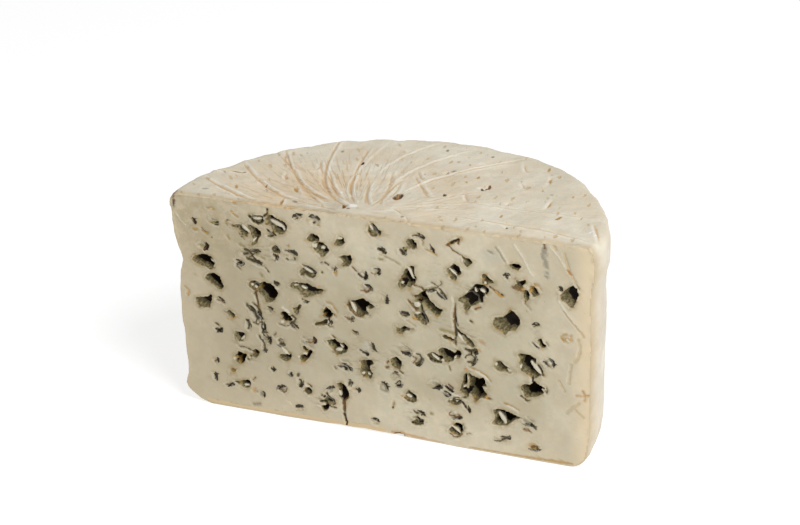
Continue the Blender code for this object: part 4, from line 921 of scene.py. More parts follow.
# Stains on the top, and two white spots near the right rim (x 88.6 and 91) that are painted highlights: x,
# distance behind the cut, width, length, lean, tint, strength
topStains = [
    (-30, 56.5, 1.4, 3.4, 10, "dark", 1), (-0.3, 25.2, 4, 7.2, 0, "brown", 1),
    (-1, 26.6, 1.2, 4, 14, "ochre", 0.4), (0.9, 25.2, 1.4, 6, 8, "dark", 0.9),
    (0.5, 23, 3, 2.8, 0, "dark", 1), (-1.3, 24, 0.9, 3.4, 16, "dark", 0.8), (18, 33, 1.6, 3, 20, "dark", 0.8),
    (31.5, 44.5, 2.2, 2.2, 0, "dark", 1), (33.3, 47.4, 1.4, 4.8, 10, "brown", 0.9),
    (33, 45.6, 1.4, 1.8, 0, "dark", 0.8), (-18.3, 9, 1.6, 4.4, 25, "brown", 1),
    (-15.5, 6.8, 2, 1.4, 0, "brown", 0.7), (-14.8, 10.5, 4, 4, 0, "white", 0.7),
    (-25.5, 22.5, 1.4, 3, 20, "white", 0.7), (21.5, 71, 5, 8, 20, "white", 0.35),
    # the white spots at x 88.6 and 91 are painted highlights on the wet rim
    (29, 45, 2.6, 3, 0, "white", 0.5), (88.6, 15, 1.6, 3, -30, "white", 0.8),
    (91, 12, 1.2, 3, -10, "white", 0.8), (-95.6, 2, 2, 5, 0, "brown", 0.7), (10.2, 57, 1, 4, 0, "brown", 0.8),
    (12.5, 59.5, 2, 3, -40, "grey", 0.7), (47, 31.5, 1, 3, 5, "dark", 0.7),
    (-55.4, 31, 1.2, 4.6, 20, "red", 0.5), (-60.4, 20.3, 1.4, 2.4, 0, "brown", 0.6),
    (-57.8, 15.5, 2.6, 1.4, -40, "brown", 0.5), (-80.5, 30.3, 9, 1.4, 6, "grey", 0.9),
    (-76.3, 31.2, 1.8, 1.6, 0, "dark", 0.5), (-84.8, 28.4, 2.4, 1.2, -40, "dark", 0.5),
    (1, 82.3, 1.6, 3, 20, "grey", 0.9), (-44.3, 67, 1.8, 3.4, 15, "grey", 0.7),
    (-9.6, 64, 1.2, 4, 10, "red", 0.5), (54.4, 8.6, 1.4, 2.2, 20, "dark", 0.6),
    (23.4, 80.3, 1.4, 2.4, 0, "grey", 0.9), (-40.6, 7.4, 3.6, 2, -30, "brown", 0.6),
    (-84, 8.3, 4, 1.8, 0, "grey", 0.6), (9.6, 5.5, 1.8, 2.4, 0, "grey", 0.7),
    (61.5, 47, 2.6, 2, -30, "grey", 0.5), (71.8, 24, 1.4, 4.6, -20, "ochre", 0.9),
    (66.2, 23.2, 3.2, 4.4, 15, "orange", 0.3), (51.8, 74, 1.2, 5, 5, "ochre", 0.8),
    (56.2, 62, 1.2, 5, 8, "ochre", 0.7), (63.9, 36.5, 0.8, 6, 0, "ochre", 0.7),
    (48.5, 18.8, 1.4, 3.4, 0, "ochre", 0.7), (-72.3, 15, 1.6, 4.4, 30, "ochre", 0.7),
    (-45.3, 18.6, 1.8, 4.8, 35, "ochre", 0.8), (-45.6, 5.2, 1.6, 6.6, 18, "ochre", 0.8),
    (70.9, 47.2, 1.4, 3, 0, "ochre", 0.6), (25, 56.5, 1.6, 3.4, 0, "ochre", 0.7),
    (6, 66.5, 3.4, 4, 30, "orange", 0.25), (2.8, 47.5, 2, 4, -20, "orange", 0.4),
    (12.5, 48.5, 1.6, 3, 40, "orange", 0.4), (16.8, 68.4, 1.4, 3.4, 20, "ochre", 0.5),
    (26, 7.8, 3, 1.8, -30, "orange", 0.5), (42, 5.8, 1.6, 2.6, 10, "ochre", 0.5),
    (45.4, 24.4, 1.4, 3.2, -20, "orange", 0.4), (54.3, 37.5, 1.8, 3.4, 0, "orange", 0.3),
    (22, 49.5, 1.4, 2.8, 20, "ochre", 0.6), (-22.6, 56, 1.6, 4.4, 35, "ochre", 0.6),
    (-17.3, 75, 2, 3.4, 20, "ochre", 0.45), (-67.5, 6, 2.6, 1.8, -40, "ochre", 0.6),
    (-38, 63.5, 7, 2.4, 5, "red", 0.15), (-46, 47.5, 3.4, 2.6, -50, "red", 0.3),
    (-35, 77.5, 1.6, 3.4, 30, "orange", 0.3),
]

# Zones of the skin, its fine relief, and how coarse its faces may be
zoneLimits = {
    "rind": 0.75,          # how far in from the wheel's outside the rind goes
    "behind": 2.5,         # behind this and above the next, a dent's floor is rind too
    "above": 96.0,
    "top": 97.0,           # the rind is the top above this, and the base below the next
    "base": 1.5,
    "cut": (-0.03, 0.35),  # in front of and behind these are the tongues and the caves
    "deepCave": 2.5,
    "fineRim": 1.2,        # the cut's skin stays fine this near a cave
    "fineEdge": (0.2, 1.3),            # and in these bands at its outline and its foot
    "fineFoot": (0.5, 2.0),
}

relief = {
    "drag": (0.10, 16.0, 2.4),         # knife marks: swing, length and width
    "dragLean": -38.0,
    "corner": (0.55, 5.5),
    "cornerLeft": (40.0, 85.0),
    "cornerUp": (55.0, 90.0),
    "wall": (0.14, 1.2),               # swing, length
    "lip": (0.12, 0.55, 0.4),          # rise, distance from the wall, spread
    "lipBreaks": (3.5, -0.1, 0.25),    # length, and the noise at which a lip starts and stands whole
    "rind": (0.34, 5.0),
    "rindFine": (0.13, 1.8),
    "crumb": (0.45, 1.5),
    "crumbReach": (1.0, 4.0),
    "crumbFrom": 90.0,
    "calmBase": 6.0,
    "foot": (-8.0, 26.0, 0.9),         # middle, spread and rise of the arch in the lower edge of the cut
    "footWave": (0.25, 6.0),
    "footReach": (4.0, 3.0),           # inward, upward
}

coarseness = {
    "detail": 0.0, "cave": 0.0, "crease": 0.12, "deepCave": 0.35, "top": 0.62, "cut": 0.75, "side": 0.85,
    "base": 0.97}


def zoneOf(point, rindGap):
    dent = point.z > zoneLimits["above"] and point.y > zoneLimits["behind"]
    if rindGap < zoneLimits["rind"] or dent:
        if point.z < zoneLimits["base"]:
            return "base"
        return "top" if point.z > zoneLimits["top"] else "side"
    front, back = zoneLimits["cut"]
    return "cut" if front <= point.y <= back else "cave"


# How far a point lies in the lumpy upper left corner of the cut
def cornerShare(point):
    return ramp(-point.x, *relief["cornerLeft"]) * ramp(point.z, *relief["cornerUp"])


# How much of a rolled lip stands at a point beside a cave's wall
def lipAt(point, gap):
    away, spread = relief["lip"][1:]
    length, start, whole = relief["lipBreaks"]
    return bell(gap - away, spread) * ramp(noise.noise(point / length), start, whole)


def rindWave(name, point):
    swing, length = relief[name]
    return swing * noise.noise(point / length)


def addRelief(shape, group):
    shape.normal_update()
    layer = shape.verts.layers.deform.verify()
    gaps = [rindTree.find_nearest(vert.co)[3] for vert in shape.verts]
    zones = [zoneOf(vert.co, gap) for vert, gap in zip(shape.verts, gaps)]
    topVerts = {vert.index: vert.co for vert in shape.verts if zones[vert.index] == "top"}
    traced = traceCreases(topVerts)
    marks = traceStrokes(flatTree([
        (vert.index, vert.co.x, vert.co.z) for vert in shape.verts if zones[vert.index] in ("cut", "cave")]))
    topTree = flatTree([(index, co.x, co.y) for index, co in topVerts.items()])
    stained = {index for row in topStains for index, reach in nearPlace(topTree, *row[:5], stainEdge[1])}
    (edgeFrom, edgeTo), (footFrom, footTo) = zoneLimits["fineEdge"], zoneLimits["fineFoot"]
    inward, upward = relief["footReach"]
    dragSwing, dragLength, dragWidth = relief["drag"]
    lean = math.radians(relief["dragLean"])
    for index, vert in enumerate(shape.verts):
        point, zone = vert.co.copy(), zones[index]
        weight = coarseness[zone]
        if zone == "cut":
            along = point.x * math.cos(lean) + point.z * math.sin(lean)
            across = point.z * math.cos(lean) - point.x * math.sin(lean)
            mark = noise.noise(Vector((along / dragLength, 0, across / dragWidth)))
            vert.co.y += dragSwing * (0.5 + mark)
            swing, length = relief["corner"]
            vert.co.y += swing * (0.5 + noise.noise(point / length)) * cornerShare(point)
            gap = wallTree.find_nearest(point)[3]
            if gap < zoneLimits["fineRim"]:
                weight = coarseness["detail"]
            vert.co.y -= relief["lip"][0] * lipAt(point, gap)
        elif zone == "cave":
            swing, length = relief["wall"]
            vert.co += vert.normal * swing * noise.noise(point / length)
            if point.y > zoneLimits["deepCave"]:
                weight = coarseness["deepCave"]
        elif zone != "base":
            rough = rindWave("rind", point) + rindWave("rindFine", point)
            if point.z > relief["crumbFrom"]:
                rough += rindWave("crumb", point) * (1 - ramp(point.y, *relief["crumbReach"]))
            vert.co += vert.normal * rough * min(1, point.z / relief["calmBase"])
        if index in marks:
            inside, tint, bank = marks[index]
            raised = -strokeLook["ridge"] if tint == "pale" else strokeLook["groove"]
            vert.co.y += raised * ramp(inside, 0, strokeLook["full"]) - strokeLook["bank"] * bank
            weight = coarseness["detail"]
        if index in traced:
            vert.co.z -= creaseDrop(*traced[index])
            if traced[index][0] < creaseLook["fine"]:
                weight = coarseness["crease"]
        atEdge = edgeFrom < gaps[index] < edgeTo or footFrom < point.z < footTo
        if index in stained or (point.y < 1 and atEdge):
            weight = coarseness["detail"]
        if point.z < upward and point.y < inward:
            middle, spread, rise = relief["foot"]
            swing, length = relief["footWave"]
            wave = swing * noise.noise(Vector((point.x / length, 3, 0)))
            lift = max(0, rise * bell(point.x - middle, spread) + wave)
            vert.co.z += lift * (1 - point.z / upward) * (1 - ramp(point.y, 0, inward))
        vert[layer][group.index] = weight


shape = bmesh.new()
shape.from_mesh(body.data)
shape.verts.index_update()
addRelief(shape, body.vertex_groups.new(name="coarse"))
shape.to_mesh(body.data)
shape.free()
print("relief added")

thin = body.modifiers.new("thin", "DECIMATE")
thin.ratio = min(1.0, skin["triangles"] / (2 * len(body.data.polygons)))
thin.vertex_group = "coarse"
thin.vertex_group_factor = 200
bakeModifiers(body)
print("thinned to", sum(len(face.vertices) - 2 for face in body.data.polygons), "triangles")

tints = {
    "ochre": (0.42, 0.24, 0.055),
    "orange": (0.52, 0.28, 0.10),
    "rust": (0.40, 0.15, 0.05),
    "brown": (0.18, 0.085, 0.03),
    "red": (0.36, 0.13, 0.055),
    "olive": (0.30, 0.25, 0.09),
    "tan": (0.60, 0.46, 0.27),
    "white": (0.88, 0.86, 0.80),
    "dark": (0.035, 0.025, 0.015),
    "grey": (0.29, 0.265, 0.195),
    "haze": (0.48, 0.455, 0.36),
    "pale": (0.64, 0.59, 0.47),
    "soot": (0.026, 0.018, 0.008),
    "moss": (0.088, 0.070, 0.030),
    "umber": (0.16, 0.085, 0.035),
}

# Stains in the cut: x, z, width, height, lean in degrees, tint, strength
cutStains = [
    (-95.8, 97, 1.4, 5, 0, "dark", 0.6), (-86.5, 85.8, 2.2, 1.2, -20, "olive", 0.8),
    (-80.3, 84.8, 1.6, 1.2, 0, "olive", 0.8), (-78.3, 82.8, 1.2, 1.2, 0, "brown", 0.7),
    (-87, 63.8, 2.6, 1.2, -20, "ochre", 0.7), (-66, 100.7, 2, 1, 0, "orange", 0.8),
    (-77.5, 96.5, 3, 0.8, 20, "tan", 0.8), (-67, 96, 2.5, 1, 0, "tan", 0.8),
    (-92.5, 53, 1.4, 2.4, 0, "red", 0.4), (-89.5, 60.5, 1.6, 1.2, 0, "red", 0.4),
    (-61, 86, 1.6, 1, 0, "brown", 0.7), (-51, 93, 2, 1, 0, "brown", 0.8), (-41.3, 84, 1, 2, 0, "ochre", 0.8),
    (-73.5, 44.5, 1, 2, 0, "ochre", 0.8), (-69, 46, 2, 1, 0, "ochre", 0.7),
    (-27.5, 69, 1.5, 0.8, 0, "brown", 0.7), (-28, 67, 1.2, 1.2, 0, "orange", 0.7),
    (-45, 65.5, 1.4, 1.4, 0, "ochre", 0.8), (-55, 68, 1.2, 1.2, 0, "olive", 0.8),
    (-43, 58.5, 1.5, 2, 0, "tan", 0.8), (-51.5, 46, 2, 1, 20, "olive", 0.8),
    (-62.3, 11, 1, 2.2, 0, "orange", 0.8), (-62, 16.7, 0.8, 1.8, 0, "ochre", 0.7),
    (-12, 47, 2.2, 1, 0, "olive", 0.9), (-8, 46, 4, 1, 0, "tan", 0.8), (-3, 45, 1.4, 1.4, 0, "ochre", 0.7),
    (1, 41.7, 1.2, 1.2, 0, "tan", 0.8), (3, 36, 0.8, 1.5, 0, "orange", 0.9),
    (2.6, 33.3, 1.2, 1.2, 0, "ochre", 0.7), (-2.5, 25.8, 1.8, 1, 0, "olive", 0.8),
    (-6.5, 12.5, 3, 3, 0, "ochre", 0.25), (4.8, 15, 0.8, 3.5, 0, "ochre", 0.9),
    (16, 45.7, 1.8, 1, 0, "ochre", 0.8), (20.6, 36, 1.4, 1, 0, "brown", 0.9),
    (22.5, 20.7, 2, 2, 0, "ochre", 0.6), (22.4, 14, 1.2, 1.2, 0, "olive", 0.8),
    (9, 20.5, 1.5, 0.8, 0, "ochre", 0.8), (39, 38.3, 2, 1.6, 0, "orange", 0.9),
    (48.5, 26.3, 3, 1.4, -20, "ochre", 0.9), (15.5, 59, 2, 1.6, 0, "ochre", 0.7),
    (44.5, 68.3, 3, 1, 15, "orange", 0.8), (54.5, 75.3, 3.2, 1.6, -20, "ochre", 0.9),
    (52.5, 76.4, 4.4, 0.8, -28, "ochre", 0.7), (46.6, 52.5, 2.2, 2.6, 0, "orange", 0.7),
    (45, 48.5, 2.4, 2, 0, "ochre", 0.6), (45, 10.5, 1.2, 1.5, 0, "ochre", 0.7),
    (68.5, 7, 5, 3.4, 20, "ochre", 0.55), (69.5, 6.3, 2.4, 1.6, 20, "olive", 0.6),
    (66, 13.8, 3, 1.4, 0, "brown", 0.6), (65, 26.3, 1.4, 1, 0, "ochre", 0.8),
    (58.8, 35.3, 2, 1, 0, "olive", 0.8), (59.2, 51.8, 1.4, 1, 0, "olive", 0.8),
    (63.5, 53, 1, 1.6, 0, "ochre", 0.8), (64, 79.5, 4, 2, 20, "ochre", 0.5), (70, 82, 3, 1, 0, "ochre", 0.6),
    (83.3, 59.5, 4, 3, 0, "ochre", 0.6), (84, 89.5, 2.4, 0.8, -50, "orange", 0.9),
    (65.5, 70, 1.2, 1.2, 0, "ochre", 0.7), (-20, 74.5, 0.8, 1.8, 0, "ochre", 0.8),
    (1.8, 73.5, 1.4, 1.4, 0, "ochre", 0.7), (50.5, 92, 11, 8, 10, "haze", 0.5),
    (1.5, 92, 5, 6, 0, "haze", 0.5), (-7, 41.5, 6, 7, 0, "haze", 0.5),
]

# Thin lines in the cut: tint, width, strength, and the points (x, z) that they pass
cutLines = [
    ("grey", 1.1, 0.7, (73.2, 99), (73.8, 93), (74.4, 87)),
    ("grey", 2, 0.35, (73.4, 99), (74, 93), (74.8, 86)),
    ("tan", 1.5, 0.8, (-86, 1.5), (-70, 0.8), (-50, 0.9), (-20, 1.4), (0, 1.8)),
    ("orange", 0.8, 0.6, (4, 1.6), (8, 2.4), (14, 1.4), (28, 0.6)),
    ("ochre", 1, 0.6, (40, 0.6), (60, 0.7), (86, 1.6)),
]

lineLook = {
    "waver": 0.35,
    "waverLength": 2.0,
    "edge": (0.3, 1.5),    # where a line starts to fade and where it ends, in its widths
}

# Smudges of mould dragged over the cut: x, z, width, height, lean in degrees, strength
smears = [
    (-55, 78, 24, 12, -15, 0.9), (-43, 93.5, 10, 9, 0, 0.7), (-33, 69, 12, 12, 0, 0.6),
    (-57, 50, 8, 18, 12, 0.6), (-41.5, 47, 9, 7, 0, 0.8), (-22.5, 52, 8, 10, 0, 0.8), (-7, 35, 16, 22, 0, 1),
    (7, 35, 11, 22, 0, 0.8), (24, 63, 13, 11, -40, 0.7), (39, 53, 18, 14, -20, 1), (43, 30, 15, 17, 0, 0.7),
    (70, 45, 13, 11, 0, 0.7), (28, 82, 16, 9, -20, 0.5), (48.5, 81, 8, 7, 0, 0.8), (67, 80, 11, 9, 0, 0.8),
    (-70, 13, 13, 7, 0, 0.5), (-30, 12, 13, 13, 0, 0.7), (16, 11, 12, 12, 0, 0.6), (33, 26, 9, 10, 0, 0.7),
    (12, 20, 10, 8, 0, 0.6), (34, 9, 11, 12, 0, 0.6), (68, 34, 14, 10, 0, 0.5), (56, 62, 16, 12, 0, 0.5),
    (57, 18, 16, 10, 0, 0.4), (-84, 71, 14, 8, 0, 0.4), (-62, 28, 10, 9, 0, 0.5), (-35, 33, 9, 10, 0, 0.6),
    (42, 74, 16, 12, 0, 0.7), (-9, 60, 16, 11, 0, 0.5), (14, 77, 9, 12, 0, 0.5), (2, 96, 8, 8, 0, 0.6),
    (1, 86, 10, 8, 0, 0.5), (-18, 19, 9, 14, 0, 0.7),
]

smearEdge = (0.4, 1.3)


def dab(paint, index, tint, strength):
    red, green, blue, covered = paint[index]
    total = covered + (1 - covered) * strength
    if total > 0:
        share = strength / total
        new = tints[tint]
        paint[index] = (*(old + (part - old) * share for old, part in zip((red, green, blue), new)), total)


def paintStains(paint, tree, stains):
    for across, up, width, height, lean, tint, strength in stains:
        for index, reach in nearPlace(tree, across, up, width, height, lean, stainEdge[1]):
            dab(paint, index, tint, strength * (1 - ramp(reach, *stainEdge)))


def paintLines(paint, tree, lines):
    start, end = lineLook["edge"]
    for tint, width, strength, *points in lines:
        touched = {}
        for spot in placesAlong(points):
            cloud = Vector((spot.x, spot.y, 0)) / lineLook["waverLength"]
            spot += lineLook["waver"] * noise.noise_vector(cloud).xy
            for co, index, distance in tree.find_range((spot.x, spot.y, 0), width * end):
                touched[index] = min(distance, touched.get(index, distance))
        for index, distance in touched.items():
            dab(paint, index, tint, strength * (1 - ramp(distance, width * start, width * end)))


# Rust and ochre at some corners of the larger caves
cornerDabs = {
    "seed": 7,
    "share": 0.42,
    "size": (1.2, 2.8),
    "flat": 0.7,
    "lean": (-60, 30),
    "tints": ("ochre", "umber", "olive", "umber", "ochre"),
    "strength": 0.5,
}


def cornerStains():
    look = cornerDabs
    draw = random.Random(look["seed"])
    for depth, *corners in largeCaves:
        for x, z in corners:
            if draw.random() < look["share"]:
                width, height = draw.uniform(*look["size"]), draw.uniform(*look["size"]) * look["flat"]
                lean, tint = draw.uniform(*look["lean"]), draw.choice(look["tints"])
                yield x, z, width, height, lean, tint, look["strength"]


mouldLook = {
    "shallow": 1.6,        # caves less deep than this are only tinged, with a painted crescent of shade and one of highlight
    "open": 3.5,           # caves at least this deep end in a hollow painted black as shade
    "tight": 1.25,         # and one deeper than this share of its half width is painted black as shade from its mouth on
    "fringe": 0.75,        # how far the mould creeps over the rim
    "haze": 0.24,
    # The brownish tint and painted shade round the caves and the dark strokes
    "tintAndShade": (0.1, 2.6),    # from a cave's wall, full and none
    "strokeTintAndShade": 0.85,
    # Mould and painted shade in the opened needle holes
    "needle": 0.5,
    "needleHoleShade": 0.6,
    "needleReach": 0.6,    # beyond the hole's radius
    "darkTurn": 35.0,      # the side of a cave where its painted shade is darkest, in degrees
    "crescentSeed": 5,
    "crescentTurn": (10.0, 45.0),
    "sunk": (0.05, 0.45),
    "ring": (0.45, 0.8),   # the crescents lie outside this, as shares of a shallow cave's size
    "tinge": (0.22, 0.3),  # a shallow cave's mould, and the painted shade its dark side adds
    "mouldSide": (0.35, 0.85, 0.6),    # where the dark crescent of mould and painted shade starts and is whole, and how strong it is
    # Crescents of painted shade and of painted highlight, on opposite sides of a shallow cave
    "shadeCrescentSide": (0.2, 0.9, 1.0),
    "highlightCrescentSide": (0.3, 0.8, 0.8),
    # How dark the painted shade grows in the walls of walled and of open caves
    "walledCaveShade": (2.0, -0.42, 0.6, 0.30, 0.0),    # slope, start, by depth, by side, by tightness
    "openCaveShade": (2.2, -0.40, 1.0, 0.10, 0.6),
}


def crescent(name, side):
    start, whole, strength = mouldLook[name]
    return strength * ramp(side, start, whole)


# How dark the painted shade is at a point of a large cave's wall
def paintedShadeAt(name, share, side, tight):
    slope, start, byDepth, bySide, byTightness = mouldLook[name]
    return 0.5 + slope * (start + byDepth * share + bySide * side + byTightness * tight)


# Mould over the caves and the cut, painted shade in the caves and needle holes, and painted highlights on
# crescents and rolled lips
def paintMouldShadeAndHighlights(tree, mesh, zones):
    count = len(mesh.vertices)
    mould, paintedShade, paintedHighlight = [0.0] * count, [0.0] * count, [0.0] * count
    draw = random.Random(mouldLook["crescentSeed"])
    turns = [math.radians(draw.gauss(*mouldLook["crescentTurn"])) for spot in caveSpots]
    for vert, zone in zip(mesh.vertices, zones):
        if zone not in ("cut", "cave"):
            continue
        place, normal, face, gap = wallTree.find_nearest(vert.co)
        if gap > mouldLook["fringe"] * 1.5:
            continue
        owner = wallOwner[face]
        x, z, width, height, lean, depth = caveSpots[owner]
        along, beside = spotOf(vert.co.x - x, vert.co.z - z, width, height, lean)
        small = depth < mouldLook["shallow"]
        turn = turns[owner] if small else math.radians(mouldLook["darkTurn"])
        side = max(-1.0, min(1.0, along * math.cos(turn) + beside * math.sin(turn)))
        sunk = ramp(vert.co.y, *mouldLook["sunk"])
        if small:
            ring = ramp(math.hypot(along, beside), *mouldLook["ring"])
            tinge, darker = mouldLook["tinge"]
            # mould with more of it on the dark side, a crescent of painted shade there, and a crescent of
            # painted highlight opposite
            mould[vert.index] = sunk * (tinge + darker * side) + crescent("mouldSide", side) * ring
            paintedShade[vert.index] = crescent("shadeCrescentSide", side) * ring
            paintedHighlight[vert.index] = crescent("highlightCrescentSide", -side) * ring
        else:
            mould[vert.index] = sunk
            tight = max(0.0, 2 * depth / width - mouldLook["tight"])
            name = "walledCaveShade" if depth < mouldLook["open"] else "openCaveShade"
            # painted shade, darker deeper in and towards the dark side
            paintedShade[vert.index] = paintedShadeAt(name, vert.co.y / depth, side, tight)
        if zone == "cut":
            haze = mouldLook["haze"] * (1 - ramp(gap, 0.1, mouldLook["fringe"]))
            mould[vert.index] = max(mould[vert.index], haze)
            # a painted highlight on the rolled lip beside the wall
            paintedHighlight[vert.index] = max(paintedHighlight[vert.index], lipAt(vert.co, gap))
    for startX, startZ, endX, endZ, radius in needleHoles:
        reach = radius + mouldLook["needleReach"]
        for spot in placesAlong([(startX, startZ), (endX, endZ)]):
            for co, index, distance in tree.find_range((spot.x, spot.y, 0), reach):
                sunk = ramp(mesh.vertices[index].co.y, 0.1, 0.6)
                mould[index] = max(mould[index], mouldLook["needle"] * sunk)
                # painted shade in the needle hole
                paintedShade[index] = max(paintedShade[index], mouldLook["needleHoleShade"] * sunk)
    return mould, paintedShade, paintedHighlight


def paintPlaces(tree, count, places, edge):
    mask = [0.0] * count
    for across, up, width, height, lean, strength in places:
        for index, reach in nearPlace(tree, across, up, width, height, lean, edge[1]):
            mask[index] = max(mask[index], strength * (1 - ramp(reach, *edge)))
    return mask


def storeColours(mesh, name, colours):
    layer = mesh.attributes.new(name, "FLOAT_COLOR", "POINT")
    layer.data.foreach_set("color", [part for spot in colours for part in spot])


# The fine lines that fan out over the top: the fan's number of the line through a point, how far
# out the point is, and how strongly lines show there
fanLook = {
    "hub": (-13.0, 8.0),
    "between": 1.5,        # degrees from line to line
    "length": 15.0,
    "straight": 110.0,     # the direction in which the lines are straight
    "bendLeft": 0.0058,
    "bendRight": 0.0117,
    "near": (3.0, 12.0),
    "reach": (28.0, 85.0),
    "topFrom": (97.0, 99.0),
    "toLeft": (-40.0, 10.0),           # the turns between which the lines grow from weak to strong
    "weak": 0.45,
}


def fanPlace(co):
    across, behind = co.x - fanLook["hub"][0], co.y - fanLook["hub"][1]
    reach = math.hypot(across, behind)
    turn = math.degrees(math.atan2(behind, across))
    if turn < -90:
        turn += 360
    aside = turn - fanLook["straight"]
    turn += aside * reach * fanLook["bendLeft" if aside > 0 else "bendRight"]
    strength = ramp(reach, *fanLook["near"]) * (1 - ramp(reach, *fanLook["reach"]))
    strength *= ramp(co.z, *fanLook["topFrom"])
    strength *= fanLook["weak"] + (1 - fanLook["weak"]) * ramp(aside, *fanLook["toLeft"])
    return turn / fanLook["between"], reach / fanLook["length"], strength


# The tan of each groove and beside each raised ridge, and a painted highlight on the raised side of each
# groove and on each raised ridge
def paintCreases(count, topVerts):
    crease, ridgeHighlight = [0.0] * count, [0.0] * count
    for index, (distance, side, depth) in traceCreases(topVerts).items():
        strength = min(1.0, creaseLook["paint"] * abs(depth))
        middle = strength * bell(distance, creaseLook["paintWidth"])
        beside = strength * bell(side - creaseLook["bankAway"], creaseLook["paintBank"])
        crease[index], ridgeHighlight[index] = (middle, beside) if depth > 0 else (0.8 * beside, middle)
    return crease, ridgeHighlight


# How near each point of the cut is to a cave or to a dark stroke, which gives a brownish tint and painted
# shade round them
def paintTintAndShade(mesh, zones, marks):
    tintAndShade = [
        1 - ramp(wallTree.find_nearest(vert.co)[3], *mouldLook["tintAndShade"]) if zone == "cut" else 0.0
        for vert, zone in zip(mesh.vertices, zones)]
    for index, (inside, tint, bank) in marks.items():
        if tint != "pale":
            tintAndShade[index] = max(tintAndShade[index], mouldLook["strokeTintAndShade"] * ramp(inside, -0.5, 0.5))
    return tintAndShade


def paintTongues(mesh, tree):
    places = [(*row, 1.0) for row in tongues]
    white = paintPlaces(tree, len(mesh.vertices), places, tongueLook["whiteEdge"])
    depths = [ramp(vert.co.y, *tongueLook["whiteDepth"]) for vert in mesh.vertices]
    return [share * (1 - depth) for share, depth in zip(white, depths)]


def paintStrokes(count, marks):
    paint = [(0.0, 0.0, 0.0, 0.0)] * count
    for index, (inside, tint, bank) in marks.items():
        paint[index] = (*tints[tint], max(0.0, inside))
    return paint


paintReach = {
    "besideCut": 3.0,      # the cut's stains run over the edge this far
    "topFrom": 96.0,
    "rim": (0.6, 4.5),     # where the rind's darker rim behind the cut starts to fade, and where it ends
    "bloom": 1.0,
    "middle": 40.0,        # the paste looks alike from this far in
    # painted highlight on the raised bank of each dark stroke
    "bankGleam": 0.8,
}


def paintBody(mesh):
    verts, count = mesh.vertices, len(mesh.vertices)
    gaps = [rindTree.find_nearest(vert.co)[3] for vert in verts]
    zones = [zoneOf(vert.co, gap) for vert, gap in zip(verts, gaps)]
    cutTree = flatTree([
        (vert.index, vert.co.x, vert.co.z) for vert, zone in zip(verts, zones)
        if zone in ("cut", "cave") or (vert.co.y < paintReach["besideCut"] and zone == "side")])
    topVerts = {vert.index: vert.co for vert in verts if vert.co.z > paintReach["topFrom"]}
    topTree = flatTree([(index, co.x, co.y) for index, co in topVerts.items()])
    paint = [(0.0, 0.0, 0.0, 0.0)] * count
    paintStains(paint, cutTree, cutStains)
    paintStains(paint, cutTree, cornerStains())
    paintLines(paint, cutTree, cutLines)
    paintStains(paint, topTree, topStains)
    storeColours(mesh, "stain", paint)
    marks = traceStrokes(cutTree)
    storeColours(mesh, "stroke", paintStrokes(count, marks))
    values = {}
    values["crease"], values["ridgeHighlight"] = paintCreases(count, topVerts)
    values["rim"] = [1 - ramp(vert.co.y, *paintReach["rim"]) for vert in verts]
    values["mould"], values["paintedShade"], values["paintedHighlight"] = paintMouldShadeAndHighlights(cutTree, mesh, zones)
    # a painted highlight on each dark stroke's raised bank
    for index, (inside, tint, bank) in marks.items():
        values["paintedHighlight"][index] = max(values["paintedHighlight"][index], paintReach["bankGleam"] * bank)
    values["tintAndShade"] = paintTintAndShade(mesh, zones, marks)
    values["tongue"] = paintTongues(mesh, cutTree)
    values["smear"] = paintPlaces(cutTree, count, smears, smearEdge)
    values["rindGap"] = [min(gap, paintReach["middle"]) for gap in gaps]
    values["bloom"] = [cornerShare(vert.co) if vert.co.y < paintReach["bloom"] else 0.0 for vert in verts]
    values["depth"] = [max(0.0, vert.co.y) if zone == "cave" else 0.0 for vert, zone in zip(verts, zones)]
    for name, row in values.items():
        mesh.attributes.new(name, "FLOAT", "POINT").data.foreach_set("value", row)
    fan = mesh.attributes.new("fan", "FLOAT_VECTOR", "POINT")
    fan.data.foreach_set("vector", [part for vert in verts for part in fanPlace(vert.co)])
    onRind = [zone not in ("cut", "cave") for zone in zones]
    for face in mesh.polygons:
        rindPoints = sum(onRind[index] for index in face.vertices)
        face.material_index = 1 if rindPoints * 2 > len(face.vertices) else 0
        face.use_smooth = True


body.data.materials.clear()
paintBody(body.data)
print("mould, stains and creases painted")

# The piece takes its place in the solid's box, in metres
mesh = body.data
mesh.name = "halfWheel"
halfWheel = bpy.data.objects.new("halfWheel", mesh)
scene.collection.objects.link(halfWheel)
bpy.data.objects.remove(body)
bpy.data.collections.remove(workshop)
bpy.data.collections.remove(cutters)

low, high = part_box("cheese")
least = [min(vert.co[axis] for vert in mesh.vertices) for axis in range(3)]
most = [max(vert.co[axis] for vert in mesh.vertices) for axis in range(3)]
stretch = [(high[axis] - low[axis]) / (most[axis] - least[axis]) for axis in range(3)]
print("stretch", [round(value * 1000, 4) for value in stretch])
toCorner = Matrix.Translation([-value for value in least])
place = Matrix.Translation(low) @ Matrix.Diagonal((*stretch, 1)) @ toCorner
mesh.transform(place)
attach(halfWheel, "root")
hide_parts("cheese")
print("half wheel in place")


def startGroup(name, inputs, outputs):
    group = bpy.data.node_groups.new(name, "ShaderNodeTree")
    for label, value in inputs.items():
        kind = "NodeSocketColor" if isinstance(value, tuple) else "NodeSocketFloat"
        group.interface.new_socket(label, in_out="INPUT", socket_type=kind).default_value = value
    for label in outputs:
        kind = "NodeSocketColor" if label == "Colour" else "NodeSocketFloat"
        group.interface.new_socket(label, in_out="OUTPUT", socket_type=kind)
    return group, group.nodes.new("NodeGroupInput").outputs, group.nodes.new("NodeGroupOutput").inputs


